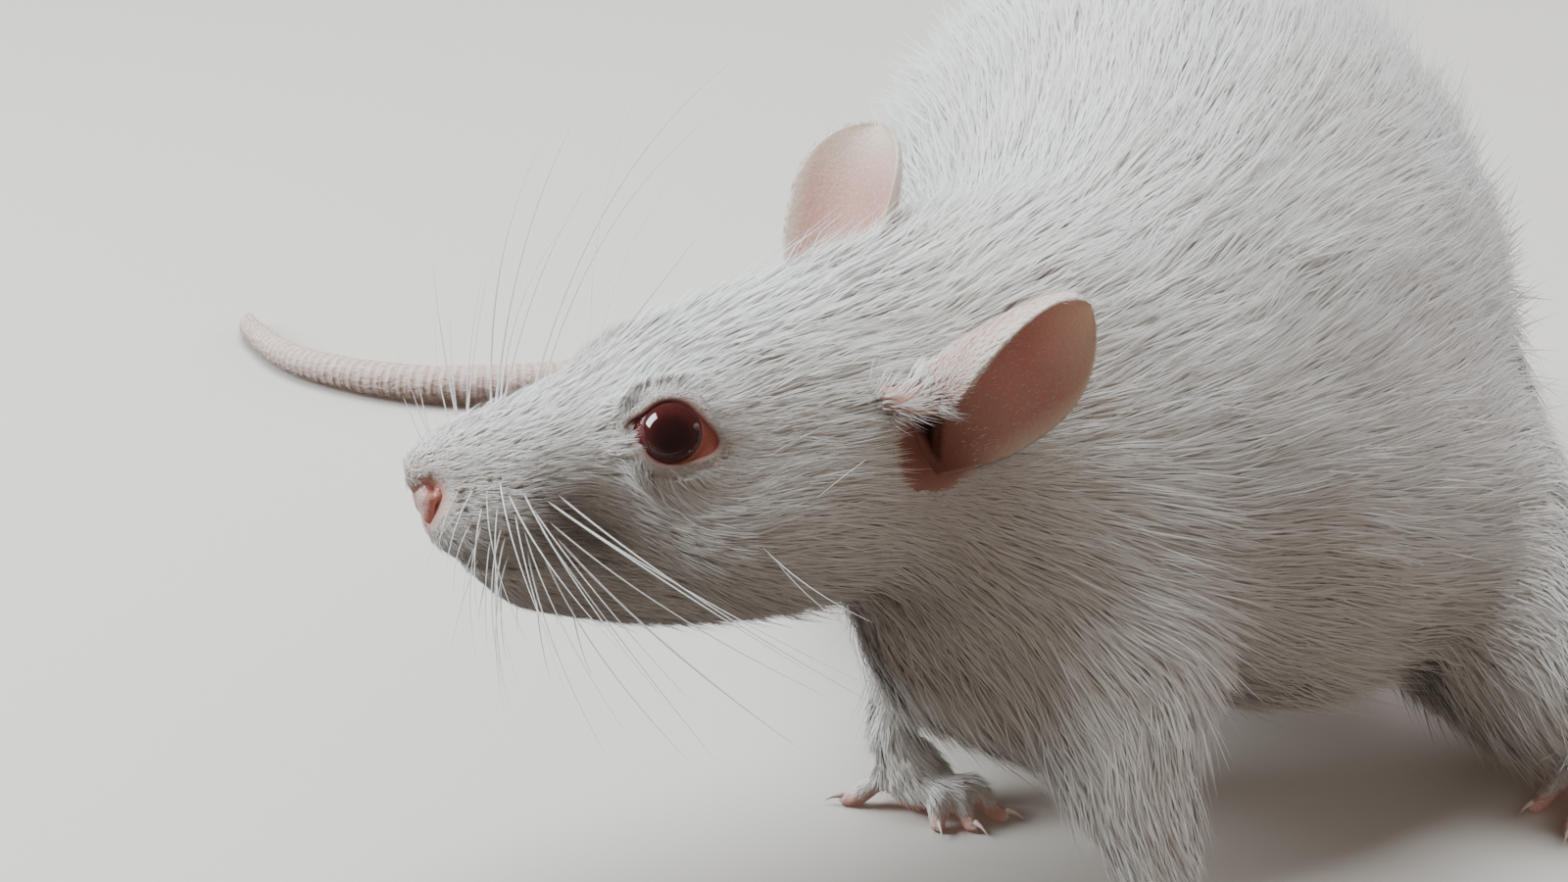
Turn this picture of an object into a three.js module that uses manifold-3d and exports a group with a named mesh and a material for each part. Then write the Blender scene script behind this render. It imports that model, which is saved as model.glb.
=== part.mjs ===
// A white pet rat at life size, hunched on its four feet with its head turned to its right.
// Millimetres, +Z up. The animal is laid out in its own frame, whose origin is the floor under the
// left eye, with -X the way the muzzle points and +Y the way the body runs back from the shoulders.
// The finished group is moved so that the middle of its footprint is the origin.
import * as THREE from "three";
import { ParametricGeometry } from "three/addons/geometries/ParametricGeometry.js";
import { mergeVertices } from "three/addons/utils/BufferGeometryUtils.js";
import Module from "manifold-3d";

// ---------- driving dimensions ----------
const EYE_HEIGHT = 50; // left eye above the floor
const EYE_OFFSET = 9.6; // eye centre from the middle of the head
const EYE_RADIUS = 3.3;
const HEAD_YAW = 16; // degrees, muzzle towards the left side of the frame
const HEAD_PITCH = 1; // degrees, muzzle down
const HEAD_ROLL = -6; // degrees, crown leaning away from the near side
const EAR_LENGTH = 20;
const EAR_HALF_WIDTH = 8.2;
const EAR_THICKNESS = 1.0;
const CUT = 0.3; // gap between two parts of the body
const NECK_CUT = -20; // along the head axis, behind the eyes
const MOUTH_BACK = 4; // where the mouth line ends, along the head axis
const CHEST_CUT = 1.9; // places along the trunk's stations where it is parted
const BELLY_CUT = 3.5;
const RUMP_CUT = 5.6;
const REACH = 400; // size of a cutting block

const UP = [0, 0, 1];
const FORWARD = [0, -1, 0];

// ---------- colours ----------
const material = (colour, roughness) =>
  new THREE.MeshStandardMaterial({ color: colour, roughness, metalness: 0, flatShading: false });
const COAT = material(0xe2dfda, 0.85);
const SKIN = material(0xdba79c, 0.6);
const TAIL_SKIN = material(0xd9b9ad, 0.65);
const EYE = material(0x4a1216, 0.08);
const NOSE = material(0xd98a86, 0.45);

// ---------- solids ----------
const wasm = await Module();
wasm.setup();

// A closed geometry as a manifold solid: faces that shrink to a line at a pole are dropped.
function solidOf(geometry) {
  geometry.deleteAttribute("normal");
  geometry.deleteAttribute("uv");
  const merged = mergeVertices(geometry, 1e-4);
  const triVerts = [];
  for (let i = 0; i < merged.index.count; i += 3) {
    const [a, b, c] = [0, 1, 2].map((k) => merged.index.getX(i + k));
    if (a !== b && b !== c && c !== a) triVerts.push(a, b, c);
  }
  const mesh = new wasm.Mesh({
    numProp: 3,
    vertProperties: merged.attributes.position.array,
    triVerts: new Uint32Array(triVerts),
  });
  return new wasm.Manifold(mesh);
}

// The largest separate body of a solid, so that no crumb of a cut is left over.
function largest(solid) {
  return solid.decompose().sort((a, b) => b.volume() - a.volume())[0];
}

function union(solids) {
  return solids.reduce((sum, solid) => sum.add(solid));
}

// ---------- shapes ----------
// A rounded body along a smooth line. Each station is [x, y, z, half width, height above, depth
// below] of the section there. caps are how many stations each round end takes up, pear narrows
// the upper half of the sections, and grow makes the body that much thicker all round.
function pod(stations, up, { caps = [1, 1], around = 16, along = 18, pear = 0, grow = 0 } = {}) {
  const spline = (k) =>
    new THREE.CatmullRomCurve3(
      stations.map((s) => new THREE.Vector3(s[k], s[k + 1], s[k + 2])),
      false,
      "catmullrom",
      0.5,
    );
  const centres = spline(0);
  const sizes = spline(3);
  const last = stations.length - 1;
  const reference = new THREE.Vector3(...up);
  const END = 0.16; // share of the rings that shape each round end
  const NEAR = 0.01;
  const place = (u) => {
    if (u < END) return caps[0] * (1 - Math.cos((u / END) * (Math.PI / 2)));
    if (u > 1 - END) return last - caps[1] * (1 - Math.cos(((1 - u) / END) * (Math.PI / 2)));
    return caps[0] + ((last - caps[0] - caps[1]) * (u - END)) / (1 - 2 * END);
  };
  const point = (u, v, target) => {
    const t = place(u);
    const dome = Math.sin(Math.min(u / END, (1 - u) / END, 1) * (Math.PI / 2));
    const size = sizes.getPoint(t / last);
    const centre = centres.getPoint(t / last);
    const ahead = centres.getPoint(Math.min(1, (t + NEAR) / last));
    const behind = centres.getPoint(Math.max(0, (t - NEAR) / last));
    const along = ahead.sub(behind).normalize();
    const side = new THREE.Vector3().crossVectors(reference, along).normalize();
    const top = new THREE.Vector3().crossVectors(along, side);
    const cos = Math.cos(2 * Math.PI * v);
    const sin = Math.sin(2 * Math.PI * v);
    const closed = u === 0 || u === 1 ? 0 : dome;
    const width = (size.x + grow) * closed * cos * (1 - pear * sin);
    const height = ((sin > 0 ? size.y : size.z) + grow) * closed * sin;
    target.copy(centre).addScaledVector(side, width).addScaledVector(top, height);
  };
  return solidOf(new ParametricGeometry((u, v, target) => point(v, u, target), around, along));
}

function ellipsoid(centre, radii, basis, detail = 16) {
  const geometry = new THREE.SphereGeometry(1, detail, Math.round(detail * 0.7));
  geometry.scale(...radii);
  geometry.applyMatrix4(basis);
  geometry.translate(...centre);
  return solidOf(geometry);
}

// ---------- head frame: x along the muzzle, y to the animal's left, z up ----------
function headFrame() {
  const [yaw, pitch, roll] = [HEAD_YAW, HEAD_PITCH, HEAD_ROLL].map(THREE.MathUtils.degToRad);
  const level = new THREE.Vector3(-Math.cos(yaw), -Math.sin(yaw), 0);
  const x = level.multiplyScalar(Math.cos(pitch)).setZ(-Math.sin(pitch));
  const flatLeft = new THREE.Vector3(Math.sin(yaw), -Math.cos(yaw), 0);
  const flatUp = new THREE.Vector3().crossVectors(x, flatLeft);
  const y = flatLeft.clone().multiplyScalar(Math.cos(roll)).addScaledVector(flatUp, -Math.sin(roll));
  const z = flatUp.clone().multiplyScalar(Math.cos(roll)).addScaledVector(flatLeft, Math.sin(roll));
  const turn = new THREE.Matrix4().makeBasis(x, y, z);
  const origin = new THREE.Vector3(0, 0, EYE_HEIGHT).addScaledVector(y, -EYE_OFFSET);
  return { turn, origin, x, z };
}
const HEAD = headFrame();
const inHead = (x, y, z) => new THREE.Vector3(x, y, z).applyMatrix4(HEAD.turn).add(HEAD.origin);
const headStations = (rows) => rows.map(([x, y, z, ...size]) => [...inHead(x, y, z).toArray(), ...size]);
const headPod = (rows, options) => pod(headStations(rows), HEAD.z.toArray(), options);
const headBall = (x, y, z, radii, detail = 12) =>
  ellipsoid(inHead(x, y, z).toArray(), radii, HEAD.turn, detail);

// ---------- cutting ----------
// Half of space as a block: everything on the far side of a plane through point, along normal.
function halfSpace(point, normal) {
  const block = new THREE.BoxGeometry(REACH, REACH, REACH);
  block.translate(0, 0, REACH / 2);
  const turn = new THREE.Quaternion().setFromUnitVectors(
    new THREE.Vector3(0, 0, 1),
    normal.clone().normalize(),
  );
  block.applyQuaternion(turn);
  block.translate(point.x, point.y, point.z);
  return solidOf(block);
}

// Parts a solid at a plane into [behind, ahead], with the thin gap between them.
function parted(solid, point, normal) {
  const step = normal.clone().normalize().multiplyScalar(CUT / 2);
  const ahead = largest(solid.intersect(halfSpace(point.clone().add(step), normal)));
  const behind = largest(solid.intersect(halfSpace(point.clone().sub(step), normal.clone().negate())));
  return [behind, ahead];
}

// The point and direction of a run of stations at one place along it.
function placeOn(stations, t) {
  const line = new THREE.CatmullRomCurve3(
    stations.map((s) => new THREE.Vector3(s[0], s[1], s[2])),
    false,
    "catmullrom",
    0.5,
  );
  const share = t / (stations.length - 1);
  const ahead = line.getPoint(share + 0.005);
  return { point: line.getPoint(share), along: ahead.sub(line.getPoint(share - 0.005)).normalize() };
}

// ---------- head ----------
const SKULL = [
  [22.9, 0, -4.9, 3, 3.2, 3.4],
  [19.6, 0, -5, 5.2, 5.5, 5.5],
  [14, 0, -5.6, 7.2, 7.6, 6.6],
  [7, 0, -5.8, 9, 10.2, 8.6],
  [0, 0, -5.4, 11.4, 12.8, 12.5],
  [-8, 0, -4.6, 14, 14.6, 15],
  [-17, 0, -4.6, 15.4, 15.6, 16.6],
  [-27, 0, -5.6, 16, 16.4, 17],
];
const JAW = [
  [19, 0, -12.2, 2.2, 2, 2],
  [15.5, 0, -13, 4, 4, 4],
  [10, 0, -13.8, 5.6, 5, 5.2],
  [2, 0, -13.5, 8.2, 6, 7.6],
  [-8, 0, -12.5, 10, 8, 9.6],
  [-18, 0, -11, 11, 9, 11],
];

const SKULL_SHAPE = { caps: [0.8, 1], around: 18, along: 14 };

function headSolid() {
  const sides = [1, -1].flatMap((side) => [
    headBall(13.2, 3.6 * side, -7.6, [8.2, 4.6, 4.9], 10), // whisker pad
    headBall(-9.5, 7 * side, -9, [13.5, 8.5, 10.2]), // cheek
  ]);
  return union([
    headPod(SKULL, SKULL_SHAPE),
    headPod(JAW, { caps: [0.8, 1], around: 10, along: 8 }),
    ...sides,
  ]);
}

const NOSE_PLACE = [20.9, 0, -6.3];
const NOSE_RADII = [2, 2.8, 2.4];

// The lower jaw is everything under the mouth line, which runs back from the lips and slightly down.
const MOUTH_FRONT = [22, -10.2];
const MOUTH_CORNER = [MOUTH_BACK, -12.8];
const UNDER = -40;
function jawBlock(gap) {
  const line = new THREE.Shape();
  line.moveTo(MOUTH_BACK - gap, UNDER);
  line.lineTo(MOUTH_FRONT[0] + 8, UNDER);
  line.lineTo(MOUTH_FRONT[0] + 8, MOUTH_FRONT[1] + 0.8 + gap);
  line.lineTo(MOUTH_CORNER[0] - gap, MOUTH_CORNER[1] + gap);
  line.closePath();
  const slab = new THREE.ExtrudeGeometry(line, { depth: 60, bevelEnabled: false });
  slab.translate(0, 0, -30);
  slab.rotateX(Math.PI / 2);
  slab.applyMatrix4(HEAD.turn);
  slab.translate(...HEAD.origin.toArray());
  return solidOf(slab);
}

// An ear is a leaf rolled about its own length. base and the two directions are in the head frame:
// axis runs from the base to the tip, face is where the hollow looks. front is the side of the leaf
// whose edge rolls over, and roll is how much more it curls than the back edge. skew draws the tip's
// front corner out along the ear, lift ends the front edge that much above the base, and drop
// carries the back edge down round the ear's opening.
function ear({ base, axis, face, front, arcs, roll, skew, lift, drop }, thickness) {
  const turned = (v) => new THREE.Vector3(...v).applyMatrix4(HEAD.turn).normalize();
  const length = turned(axis);
  const hollow = turned(face);
  hollow.addScaledVector(length, -hollow.dot(length)).normalize();
  const across = new THREE.Vector3().crossVectors(hollow, length).multiplyScalar(front);
  const root = inHead(...base);
  const WIDEST = 0.46;
  const SQUARENESS = 3;
  const BASE_SHARE = 0.62;
  const CLOSING = 0.05;
  const leaf = (u, w, target) => {
    const v = w < 0.5 ? -1 + 4 * w : 3 - 4 * w;
    const outer = w < 0.5 ? -1 : 1;
    const rising = BASE_SHARE + (1 - BASE_SHARE) * Math.sin((Math.min(u / WIDEST, 1) * Math.PI) / 2);
    const closing = Math.sqrt(Math.max(0, 1 - Math.max(0, (u - WIDEST) / (1 - WIDEST)) ** SQUARENESS));
    const opening = Math.sqrt(Math.min(1, u / CLOSING));
    const half = EAR_HALF_WIDTH * rising * closing * opening;
    const arc = THREE.MathUtils.degToRad(arcs[0] + (arcs[1] - arcs[0]) * u);
    const angle = arc * (v + roll * (1 - 0.6 * u) * Math.max(0, v) ** 2);
    const radius = half / arc;
    const depth = 0.5 * thickness * Math.sqrt(Math.max(0, 1 - v ** 4)) * Math.min(1, closing * 1.5) * opening;
    const r = radius - outer * depth;
    const low = opening * (1 - u) ** 2;
    const lifted = lift * low * Math.max(0, (v + 0.1) / 1.1) ** 1.5;
    const dropped = drop * low * Math.max(0, -v) ** 1.5;
    target
      .copy(root)
      .addScaledVector(length, u * EAR_LENGTH + skew * v * closing * u ** 1.6 + lifted)
      .addScaledVector(across, r * Math.sin(angle) - dropped)
      .addScaledVector(hollow, radius - r * Math.cos(angle));
  };
  // The surface is wound the other way round for the mirrored ear, to keep its faces outward.
  return solidOf(
    new ParametricGeometry((w, u, target) => leaf(u, front > 0 ? w : 1 - w, target), 16, 8),
  );
}
const LEFT_EAR = {
  base: [-20.2, 11.6, 0.1],
  axis: [-0.8, 0.36, 0.46],
  face: [0.1, 0.9, -0.38],
  front: 1,
  arcs: [84, 52],
  roll: 0.75,
  skew: 2,
  lift: 5.2,
  drop: 3.2,
};
const RIGHT_EAR = {
  base: [-22.4, -11.3, 1.3],
  axis: [-0.27, -0.22, 0.93],
  face: [0.8, 0.42, 0.1],
  front: -1,
  arcs: [74, 46],
  roll: 0.2,
  skew: -0.3,
  lift: 0,
  drop: 0,
};

// ---------- trunk ----------
const TRUNK = [
  [14, 14, 43, 14, 13, 13],
  [26, 18, 42, 20, 18, 20],
  [37.4, 26, 41, 26, 24, 29],
  [46.6, 42, 41, 31, 31, 32],
  [51.2, 60, 42, 34, 35, 34],
  [50.4, 80, 41, 34, 34, 33],
  [47, 100, 35, 30, 29, 28],
  [44, 117, 26, 20, 19, 19],
  [42, 128, 19, 8, 8, 8],
];
const NAPE = [
  [10, 11, 45.5, 12, 12, 12],
  [19, 15, 45, 17.5, 17, 16],
  [28, 21, 44, 20.5, 20.5, 20],
  [38, 29, 43, 22, 22, 24],
];
const BREAST = [
  [18, 17, 38, 12, 13, 13],
  [28, 15, 32, 14, 14.5, 18],
  [36, 11, 26, 13, 13.5, 17],
  [43, 7, 20, 9, 9, 11.5],
];
const LEFT_SIDE = [
  [43, 15, 32, 9, 13, 15],
  [55, 20, 30, 12, 18, 18],
  [67, 32, 29, 12, 19, 18],
  [75, 48, 28, 9, 14, 14],
];
const TRUNK_SHAPE = { around: 20, along: 16, pear: 0.2 };

function trunkSolid(grow) {
  return union([
    pod(TRUNK, UP, { ...TRUNK_SHAPE, grow }),
    pod(NAPE, UP, { along: 7, around: 12, grow }),
    pod(BREAST, UP, { along: 8, around: 12, grow }),
    pod(LEFT_SIDE, UP, { along: 8, around: 12, grow }),
  ]);
}

// ---------- limbs ----------
const LEFT_ARM = [
  [40, 16, 34, 12, 13, 13],
  [40, 8, 27, 11, 11.5, 11.5],
  [40.5, 2, 20.5, 9, 9, 9],
  [42.2, -2.5, 14.5, 6.4, 6.2, 6.2],
  [44, -6, 9.5, 4.2, 4, 4],
  [44.6, -8.3, 6.3, 3, 2.6, 2.6],
  [44.6, -10.5, 4, 2.4, 2, 2],
];
const RIGHT_ARM = [
  [30, 36, 30, 9, 10, 10],
  [25, 34, 24, 7, 8, 8],
  [22.5, 31, 17, 5, 5.5, 5.5],
  [21.3, 28.5, 11.5, 3.4, 3.4, 3.6],
  [20.4, 26, 8, 2.6, 2.4, 2.8],
  [21, 24, 5.5, 2.4, 2.2, 2.2],
];
const LEFT_THIGH = [
  [60, 84, 34, 12, 14, 14],
  [69, 66, 30, 15, 20, 20],
  [75.6, 45, 24, 13, 18, 19],
  [81.5, 28, 15.5, 8.5, 12, 12],
  [86, 17, 10, 4, 6, 6],
];
const RIGHT_THIGH = [
  [42, 98, 34, 12, 14, 14],
  [31, 88, 30, 14, 20, 20],
  [25, 78, 25, 12, 18, 18],
  [24, 67, 18, 8, 12, 11],
  [24.4, 60, 13, 4, 6, 6],
];
const LEFT_SHANK = [
  [86, 24, 13, 5, 6, 6],
  [89.5, 36, 11, 5, 6, 6],
  [92.4, 49, 8, 3.6, 4.4, 4.4],
  [93.2, 56, 5, 2.8, 3.2, 3.2],
];
const RIGHT_SHANK = [
  [24.6, 64, 13, 5, 6, 6],
  [22.6, 78, 11, 5, 6, 6],
  [22.6, 92, 8, 3.6, 4.4, 4.4],
  [23.1, 98, 5, 2.8, 3.2, 3.2],
];

// A foot is a flattened palm or sole with its toes. Each toe is a thin pod that arches forward to a
// pad on the floor, given as [tip x, tip y], and carries a claw that curves down past the pad.
const TOE_RADIUS = 1.05;
const PAD_RADIUS = 0.9;
const CLAW = { length: 2, radius: 0.42, height: 1, drop: 0.75 };
function foot({ stations, toes, knuckle, rootShare }) {
  const sole = pod(stations, UP, { along: 6, around: 8 });
  const [frontX, frontY, frontZ] = stations[stations.length - 2];
  const digits = toes.map(([x, y]) => {
    const root = [frontX + rootShare * (x - frontX), frontY + rootShare * (y - frontY)];
    const at = (share, z, r) => [
      root[0] + (x - root[0]) * share,
      root[1] + (y - root[1]) * share,
      z,
      r,
      r,
      r,
    ];
    const toe = pod(
      [at(0, frontZ, TOE_RADIUS), at(0.45, knuckle, TOE_RADIUS), at(0.8, 0.9, 0.95), at(1.05, 0.4, PAD_RADIUS)],
      UP,
      { caps: [0.4, 0.5], along: 5, around: 6 },
    );
    return toe.add(claw(new THREE.Vector3(x, y, CLAW.height), new THREE.Vector3(x - root[0], y - root[1], 0)));
  });
  return union([sole, ...digits]);
}

function claw(start, ahead) {
  const direction = ahead.normalize().setZ(-CLAW.drop / CLAW.length).normalize();
  const cone = new THREE.ConeGeometry(CLAW.radius, CLAW.length, 4, 1);
  cone.applyQuaternion(new THREE.Quaternion().setFromUnitVectors(new THREE.Vector3(0, 1, 0), direction));
  const middle = start.clone().addScaledVector(direction, CLAW.length / 2 + 0.3);
  cone.translate(middle.x, middle.y, middle.z);
  return solidOf(cone);
}
const LEFT_PAW = {
  stations: [
    [44.6, -8.6, 5.8, 2.6, 2.2, 2.2],
    [44.4, -11.5, 3.8, 3.2, 2.2, 3.9],
    [43.6, -14.5, 2.4, 3.8, 1.7, 2.9],
    [43, -16.5, 1.8, 3.2, 1.2, 2],
  ],
  toes: [
    [47.6, -20.5],
    [44.4, -22.5],
    [40.6, -22.2],
    [37.4, -18.6],
  ],
  knuckle: 2.9,
  rootShare: 0.15,
};
const RIGHT_PAW = {
  stations: [
    [20.6, 26.4, 7.6, 2.4, 2, 2],
    [22, 25.4, 5.4, 3, 2.2, 4],
    [24.2, 24.4, 3, 3.8, 1.8, 4.2],
    [25.8, 23.6, 2, 3.2, 1.2, 2.8],
  ],
  toes: [
    [15.6, 25.2],
    [25, 19],
    [28.6, 19.2],
    [31.8, 21.8],
  ],
  knuckle: 3.2,
  rootShare: 0.1,
};
const LEFT_HIND_FOOT = {
  stations: [
    [93.4, 58, 3.8, 2.4, 2.8, 3.4],
    [92.8, 50, 3.4, 3.3, 2.6, 3.8],
    [91.6, 37, 3, 4, 2.3, 3.4],
    [90.6, 29, 2.6, 4.6, 1.9, 3],
    [90.2, 25, 2, 3.8, 1.4, 2.1],
  ],
  toes: [
    [96.4, 23.5],
    [93.8, 18],
    [90, 16.4],
    [86.2, 17.8],
    [83.6, 23.5],
  ],
  knuckle: 2.8,
  rootShare: 0.12,
};
const RIGHT_HIND_FOOT = {
  stations: [
    [23, 100, 3.8, 2.4, 2.8, 3.4],
    [23.4, 92, 3.4, 3.3, 2.6, 3.8],
    [25.2, 79, 3, 4, 2.3, 3.4],
    [26.4, 71, 2.6, 4.6, 1.9, 3],
    [27, 67, 2, 3.8, 1.4, 2.1],
  ],
  toes: [
    [20.6, 65.5],
    [24.2, 59.8],
    [28, 58.4],
    [31.6, 60.2],
    [33.8, 65.8],
  ],
  knuckle: 2.8,
  rootShare: 0.12,
};

// ---------- tail ----------
const TAIL = [
  [43, 120, 20, 6.5, 6.5, 6.5],
  [46, 132, 13, 5.2, 5.2, 5.2],
  [55, 143, 6.5, 4.6, 4.5, 4.5],
  [61, 154, 4.2, 4.3, 4.2, 4.3],
  [56, 165, 3.9, 4.1, 4, 4.1],
  [42, 168, 3.7, 3.9, 3.8, 3.9],
  [24, 158, 3.4, 3.7, 3.5, 3.6],
  [6, 144, 3.2, 3.5, 3.3, 3.4],
  [-14, 135, 2.9, 3.2, 3, 3.1],
  [-34, 134, 2.6, 2.8, 2.7, 2.8],
  [-50, 142, 2.2, 2.4, 2.3, 2.4],
  [-58, 154, 1.8, 2, 1.9, 2],
  [-60, 162, 1.5, 1.5, 1.4, 1.6],
];
const TAIL_CUTS = [3.5, 6.5, 9.2];

// ---------- building ----------
const body = new THREE.Group();
const head = new THREE.Group();
head.applyMatrix4(HEAD.turn);
head.position.copy(HEAD.origin);
body.add(head);
body.updateMatrixWorld(true);

const floorBlock = halfSpace(new THREE.Vector3(0, 0, 0), new THREE.Vector3(0, 0, -1));

// Turns a finished solid into a named mesh whose own origin is its middle.
function addPart(name, solid, finish, group = body) {
  const cut = largest(solid.subtract(floorBlock));
  const { vertProperties, triVerts, numProp } = cut.getMesh();
  const geometry = new THREE.BufferGeometry();
  geometry.setAttribute("position", new THREE.BufferAttribute(vertProperties, numProp));
  geometry.setIndex(new THREE.BufferAttribute(triVerts, 1));
  geometry.computeBoundingBox();
  const middle = geometry.boundingBox.getCenter(new THREE.Vector3());
  geometry.translate(-middle.x, -middle.y, -middle.z);
  geometry.computeVertexNormals();
  const mesh = new THREE.Mesh(geometry, finish);
  mesh.name = name;
  mesh.position.copy(middle);
  body.add(mesh);
  if (group !== body) group.attach(mesh);
  return mesh;
}

const eyeBall = (side, grow = 0) => {
  const r = EYE_RADIUS + grow;
  return headBall(0, EYE_OFFSET * side, 0, [r, r, r]);
};

function buildHeadAndTrunk() {
  const neckPoint = inHead(NECK_CUT, 0, 0);
  const bareHead = headSolid();
  let [, skull] = parted(bareHead, neckPoint, HEAD.x);
  let [rest] = parted(bareHead.add(trunkSolid(0)), neckPoint, HEAD.x);
  skull = skull.subtract(eyeBall(1, CUT)).subtract(eyeBall(-1, CUT));

  const nose = headBall(...NOSE_PLACE, NOSE_RADII, 10);
  skull = skull.subtract(headBall(...NOSE_PLACE, NOSE_RADII.map((r) => r + CUT), 10));

  const jaw = largest(skull.intersect(jawBlock(-CUT)));
  skull = largest(skull.subtract(jawBlock(0)));
  addPart("head", skull, COAT, head);
  addPart("lower_jaw", jaw, COAT, head);
  addPart("nose", nose, NOSE, head);
  addPart("eye_left", eyeBall(1), EYE, head);
  addPart("eye_right", eyeBall(-1), EYE, head);

  const skullCutter = headPod(SKULL, { ...SKULL_SHAPE, grow: CUT });
  const coreCutter = trunkSolid(CUT);
  const earOf = (shape) => ear(shape, EAR_THICKNESS).subtract(skullCutter).subtract(coreCutter);
  addPart("ear_left", earOf(LEFT_EAR), SKIN, head);
  addPart("ear_right", earOf(RIGHT_EAR), SKIN, head);

  const cuts = [CHEST_CUT, BELLY_CUT, RUMP_CUT].map((t) => placeOn(TRUNK, t));
  const names = ["neck", "chest", "belly", "rump"];
  names.forEach((name, i) => {
    if (i < cuts.length) {
      const [front, back] = parted(rest, cuts[i].point, cuts[i].along);
      addPart(name, front, COAT);
      rest = back;
    } else addPart(name, rest, COAT);
  });
  return coreCutter.add(skullCutter);
}

// A limb is its fleshy pods and its foot in one, less the trunk, parted at the joints it is given.
function buildLimb(side, core, { upper, lower, paw, names, cuts }) {
  let limb = union(upper.concat(lower)).add(paw).subtract(core);
  limb = largest(limb);
  cuts.forEach(({ point, along }, i) => {
    const [near, far] = parted(limb, point, along);
    addPart(names[i] + side, near, COAT);
    limb = far;
  });
  addPart(names[names.length - 1] + side, limb, SKIN);
}

const core = buildHeadAndTrunk();
const arm = (rows) => [pod(rows, FORWARD, { along: 9, around: 10 })];
buildLimb("_left", core, {
  upper: arm(LEFT_ARM),
  lower: [],
  paw: foot(LEFT_PAW),
  names: ["upper_arm", "forearm", "forepaw"],
  cuts: [placeOn(LEFT_ARM, 2.6), placeOn(LEFT_ARM, 4.9)],
});
buildLimb("_right", core, {
  upper: arm(RIGHT_ARM),
  lower: [],
  paw: foot(RIGHT_PAW),
  names: ["upper_arm", "forearm", "forepaw"],
  cuts: [placeOn(RIGHT_ARM, 2), placeOn(RIGHT_ARM, 4.1)],
});
const leg = (rows) => [pod(rows, UP, { along: 8, around: 10 })];
buildLimb("_left", core, {
  upper: leg(LEFT_THIGH),
  lower: leg(LEFT_SHANK),
  paw: foot(LEFT_HIND_FOOT),
  names: ["thigh", "hind_foot"],
  cuts: [{ point: new THREE.Vector3(92, 40, 6.2), along: new THREE.Vector3(0, 0, -1) }],
});
buildLimb("_right", core, {
  upper: leg(RIGHT_THIGH),
  lower: leg(RIGHT_SHANK),
  paw: foot(RIGHT_HIND_FOOT),
  names: ["thigh", "hind_foot"],
  cuts: [{ point: new THREE.Vector3(24.6, 79, 6.2), along: new THREE.Vector3(0, 0, -1) }],
});

// The tail is parted across its own line; each cut reaches only its own stretch of the curl, and a
// small probe just behind the cut tells which of the two pieces comes first.
const TAIL_REACH = 12;
const PROBE = 1.2;
const ballAt = (point, r) => ellipsoid(point.toArray(), [r, r, r], new THREE.Matrix4());
let tail = largest(pod(TAIL, UP, { along: 34, around: 8 }).subtract(core));
TAIL_CUTS.forEach((t, i) => {
  const { point, along } = placeOn(TAIL, t);
  const step = along.clone().multiplyScalar(CUT / 2);
  const slot = halfSpace(point.clone().sub(step), along).intersect(
    halfSpace(point.clone().add(step), along.clone().negate()),
  );
  const probe = ballAt(point.clone().addScaledVector(along, -2 * PROBE), PROBE);
  const pieces = tail.subtract(slot.intersect(ballAt(point, TAIL_REACH))).decompose();
  pieces.sort((a, b) => b.intersect(probe).volume() - a.intersect(probe).volume());
  addPart("tail_" + (i + 1), pieces[0], TAIL_SKIN);
  tail = pieces[1];
});
addPart("tail_" + (TAIL_CUTS.length + 1), tail, TAIL_SKIN);

// The middle of the footprint becomes the origin.
const rat = new THREE.Group();
rat.add(body);
rat.updateMatrixWorld(true);
const box = new THREE.Box3().setFromObject(rat);
const middle = box.getCenter(new THREE.Vector3());
body.position.set(-middle.x, -middle.y, 0);

export default rat;
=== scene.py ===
# %% [markdown]
# # A white pet rat
# This file dresses a small animal whose plain solids already exist. The solids give the size, the
# pose and the weight. Here each soft part gets a skin, and the skin gets hair, whiskers, claws and
# wet eyes. Everything is worked out with numpy in millimetres and moved to Blender's metres at the
# end, so a number here reads like a number on a ruler.

# %% Load the frame
from math import cos, pi, radians, sin

import bpy
import numpy as np
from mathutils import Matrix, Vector


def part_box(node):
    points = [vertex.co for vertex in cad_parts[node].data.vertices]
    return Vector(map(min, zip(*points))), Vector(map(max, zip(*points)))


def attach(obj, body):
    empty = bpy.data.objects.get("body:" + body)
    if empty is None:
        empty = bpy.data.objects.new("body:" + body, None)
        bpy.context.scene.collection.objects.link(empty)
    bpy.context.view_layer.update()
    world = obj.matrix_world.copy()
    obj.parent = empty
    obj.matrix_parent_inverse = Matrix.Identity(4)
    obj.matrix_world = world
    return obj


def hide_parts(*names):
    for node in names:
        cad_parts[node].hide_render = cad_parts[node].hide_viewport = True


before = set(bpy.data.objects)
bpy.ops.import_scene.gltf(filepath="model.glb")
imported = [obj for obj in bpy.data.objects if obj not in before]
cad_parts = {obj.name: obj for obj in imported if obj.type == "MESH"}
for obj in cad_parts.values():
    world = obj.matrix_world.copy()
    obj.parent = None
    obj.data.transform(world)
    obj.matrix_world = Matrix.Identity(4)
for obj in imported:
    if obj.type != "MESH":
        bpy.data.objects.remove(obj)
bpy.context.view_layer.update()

# %% [markdown]
# ## Two frames
# The rat is laid out in its own frame: the origin is on the floor under the left eye, -X is where
# the muzzle points and +Y is where the body runs back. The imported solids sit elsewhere, so the left
# eye's solid tells how far to move. The head has a third frame: x along the muzzle, y to the
# animal's left and z up, because a face is far easier to describe along its own axes.

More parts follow.
